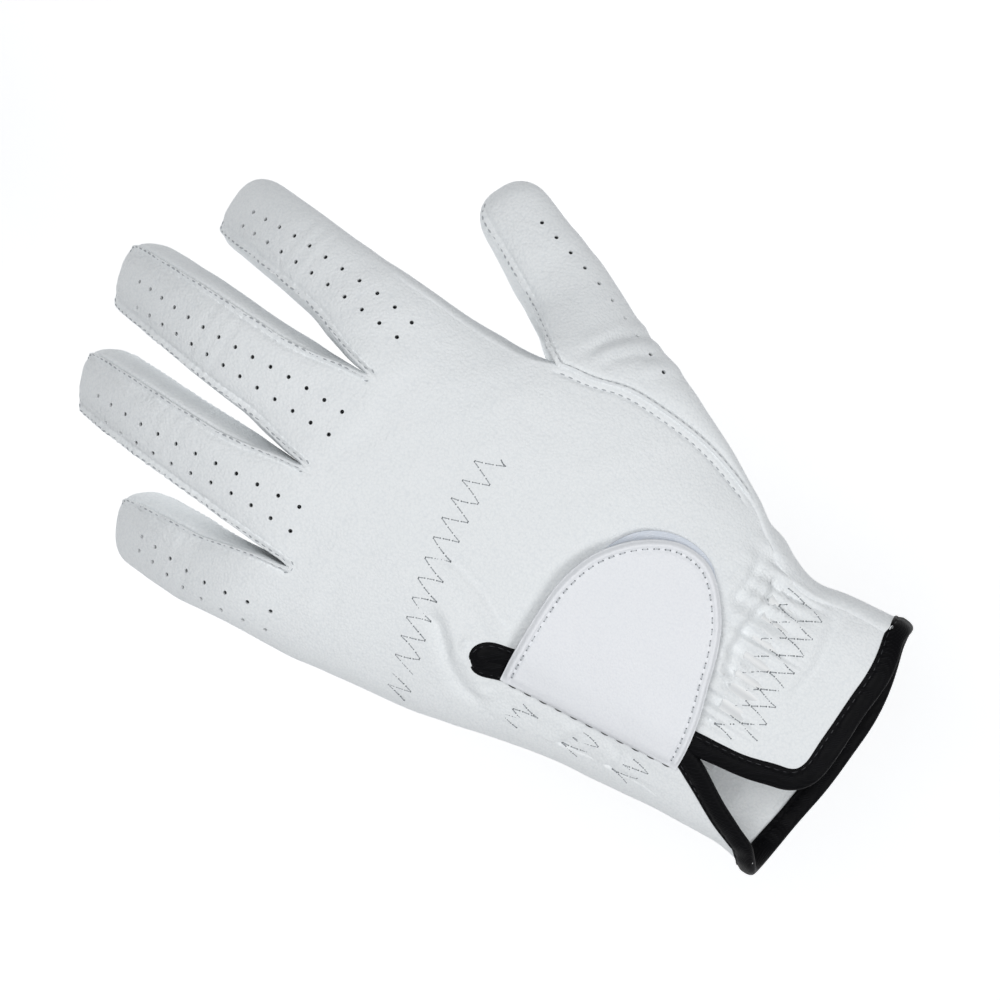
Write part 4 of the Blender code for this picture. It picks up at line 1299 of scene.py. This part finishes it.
gusset_t, gusset_w = np.linspace(0, 1, 40)[:, None], np.linspace(0, 1, 12)[None]
gusset_y = 4.6 - 36 * gusset_t + 0 * gusset_w
gusset_left, gusset_right = slit_arm(gusset_y, -1) - 1.5, slit_arm(gusset_y, 1) + 1.5
narrow = np.sqrt(np.clip(gusset_t / 0.12, 0.05, 1))
gusset_x = (gusset_left + gusset_right) / 2 + (gusset_right - gusset_left) * (gusset_w - 0.5) * narrow
sag = -0.9 + 0.25 * np.sin(gusset_x * 1.3 + gusset_y * 0.6)
gusset = lay("slit_gusset", gusset_x, gusset_y, sag, sag - 0.6, SATIN)
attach(gusset, "hand")

# ---------------------------------------------------------------- closure tab
# A D of smooth white leather with a 50 mm base and a 51 mm reach, about 4 mm proud of the
# hand. It is sewn to the flap along its base and edge-stitched 2.35 mm in, with hooks
# beneath.
TAB_THICK, TAB_SEAM, TAB_PITCH = 1.15, 2.35, 2.9
TAB_RIM = np.array([
    (-33.2, -4), (-28.5, -3.2), (-20.7, -2.5), (-12.7, -2.2), (-5, -2.4), (0.5, -3.5), (5.7, -5.4),
    (10.1, -8.2), (14.2, -11.8), (17.7, -16.4), (20, -21.3), (20.6, -26.3), (19.6, -31.4), (17.2, -35.2),
    (13.6, -38.8), (9.2, -42.2), (4, -44.9), (-5.4, -48.2), (-12.9, -50.8), (-18.6, -52.3), (-24, -53.4),
    (-27.3, -53.9)])
RIM_SHARE = far_along(TAB_RIM) / far_along(TAB_RIM)[-1]
BASE_TOP, BASE_WAY = TAB_RIM[0], TAB_RIM[-1] - TAB_RIM[0]


def tab_rim(t):
    """The D's curved edge, from the top of its base (t 0) to the bottom (t 1)."""
    return through(RIM_SHARE, TAB_RIM[:, 0], t), through(RIM_SHARE, TAB_RIM[:, 1], t)


def tab_base(t):
    return BASE_TOP[0] + BASE_WAY[0] * np.asarray(t), BASE_TOP[1] + BASE_WAY[1] * np.asarray(t)


def past_base(x, y):
    """How far a point lies from the tab's base, towards the thumb."""
    return (BASE_WAY[0] * (y - BASE_TOP[1]) - BASE_WAY[1] * (x - BASE_TOP[0])) / math.hypot(*BASE_WAY)


RIM_STEPS = np.array([0, 0.004, 0.009, 0.014, 0.02, 0.026, 0.032, 0.038, 0.044, 0.05, 0.058, 0.07, 0.09])


def fanned(outward, clear, t):
    """x, y from a line that lies clear of the base by some mm to the outline, moved outward
    by some mm, with each point's distance from the tab's curved edge."""
    t = t[:, None]
    share = np.concatenate([np.linspace(0, 0.88, 30), 1 - RIM_STEPS[::-1]])[None]
    (rim_x, rim_y), (base_x, base_y) = tab_rim(t), tab_base(t)
    reach = math.hypot(*BASE_WAY)
    base_x, base_y = base_x - BASE_WAY[1] / reach * clear, base_y + BASE_WAY[0] / reach * clear
    ahead_x, ahead_y = np.gradient(rim_x[:, 0])[:, None], np.gradient(rim_y[:, 0])[:, None]
    length = np.hypot(ahead_x, ahead_y)
    out_x, out_y = rim_x - outward * ahead_y / length, rim_y + outward * ahead_x / length
    x, y = base_x + (out_x - base_x) * share, base_y + (out_y - base_y) * share
    rim = np.array(tab_rim(np.linspace(0, 1, 300))).T
    return x, y, np.min(np.hypot(x[..., None] - rim[:, 0], y[..., None] - rim[:, 1]), axis=-1)


SMOOTH_LEATHER = leather_material("smooth_white_tab_leather", ("#f0f2f5", "#f3f4f7"), "#e9ebf0",
                                  0.0006, 0.00010, 0.5)
HOOK_CLOTH = fabric_material("pale_hook_and_loop_fabric", "#d8dee7", "#eaeef4", 0.0005, 0.9, 0.2, 0.3)


def tab_lift(x, y):
    """Height of the tab's underside over the hand: sewn down at the base, then arched."""
    return 0.05 + 1.35 * smooth(past_base(x, y) / 2.6) + 1.3 * smooth((past_base(x, y) - 1) / 8)


x, y, d = fanned(0, 0, np.linspace(0, 1, 170))
domed = 0.35 * smooth(d / 14) + 0.42 * bump(d - 1.1, 0.75)
domed = domed - 0.45 * bump(d - TAB_SEAM, 0.42) - 0.9 * bump(d, 0.8)
domed += 0.12 * np.sin(x / 5 + y / 7) + 0.08 * np.sin(x / 2.9 - y / 4.4)
domed *= smooth(past_base(x, y) / 2)
under = tab_lift(x, y)
turned_under = under - 0.9 * bump(d, 2) * smooth((under - 1) / 1.5)
tab = lay("tab_leather_plate", x, y, under + TAB_THICK + domed, turned_under, SMOOTH_LEATHER)
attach(tab, "tab")
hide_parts("tab_leather")

HOOK_MARGIN, HOOK_CLEAR, LOOP_CLEAR = 5, 17, 20
x, y, _ = fanned(-HOOK_MARGIN, HOOK_CLEAR, np.linspace(0.19, 0.81, 90))
hooks = lay("tab_hook_fabric", x, y, 2.75 + 0 * x, 1.75 + 0.15 * np.sin(x * 5) * np.sin(y * 5), HOOK_CLOTH)
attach(hooks, "tab")
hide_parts("tab_hook_patch")

t = np.linspace(0.2, 0.8, 150)
past = through([0.2, 0.3, 0.36, 0.42, 0.5, 0.56, 0.61, 0.66, 0.8],
               [-3, -2, 0.4, 2.0, 1.7, 1.1, 0.2, -1.5, -3], t)
x, y, _ = fanned(past[:, None], LOOP_CLEAR, t)
pile = 1.3 + 0.1 * np.sin(x * 7 + y) * np.sin(y * 6.3 - x)
loops = lay("loop_fabric", x, y, pile, 0.05 + 0 * x, HOOK_CLOTH)
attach(loops, "hand")
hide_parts("loop_patch")



def raised_line(x, y, lift):
    """A line at a height over the hand, and its normals."""
    line = skin(x, y, 1, lift)
    return line, line - skin(x, y, 1, lift - 1)


edge_x, edge_y = tab_rim(np.linspace(0.012, 0.988, 260))
ahead = unit(np.stack([np.gradient(edge_x), np.gradient(edge_y)], -1))
stitch_x, stitch_y = edge_x + TAB_SEAM * ahead[:, 1], edge_y - TAB_SEAM * ahead[:, 0]
keep = past_base(stitch_x, stitch_y) > 1.2
stitch_x, stitch_y = stitch_x[keep], stitch_y[keep]
line, up = raised_line(stitch_x, stitch_y, tab_lift(stitch_x, stitch_y) + 1.03)
# The tab's stitches carry dark dots of painted shade at their needle holes.
tab_thread = sew("tab_stitches", [stitches_on(line, up, TAB_PITCH, 0.42, sink=0.0)], WHITE_THREAD,
                 0.19, holes=0.22)
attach(tab_thread, "tab")

# Along its base the tab is sewn to the flap with black thread: a fine line in the join,
# and heavier stitches 4.3 mm apart that step over it.
base_x, base_y = tab_base(np.linspace(0.03, 0.99, 80))
base_runs = []
for out, lift, pitch, share in ((0.15, 0.2, 1.0, 0.98), (0.3, 0.45, 4.3, 0.5)):
    base_runs.append(stitches_on(*raised_line(base_x - out, base_y, lift), pitch, share, sink=0.0))
fine = sew("tab_base_thread", base_runs[:1], BLACK_THREAD, 0.17)
heavy = sew("tab_base_stitches", base_runs[1:], BLACK_THREAD, 0.36)
for piece in (fine, heavy):
    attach(piece, "hand")

# ---------------------------------------------------------------- end
bpy.data.objects.remove(punches)
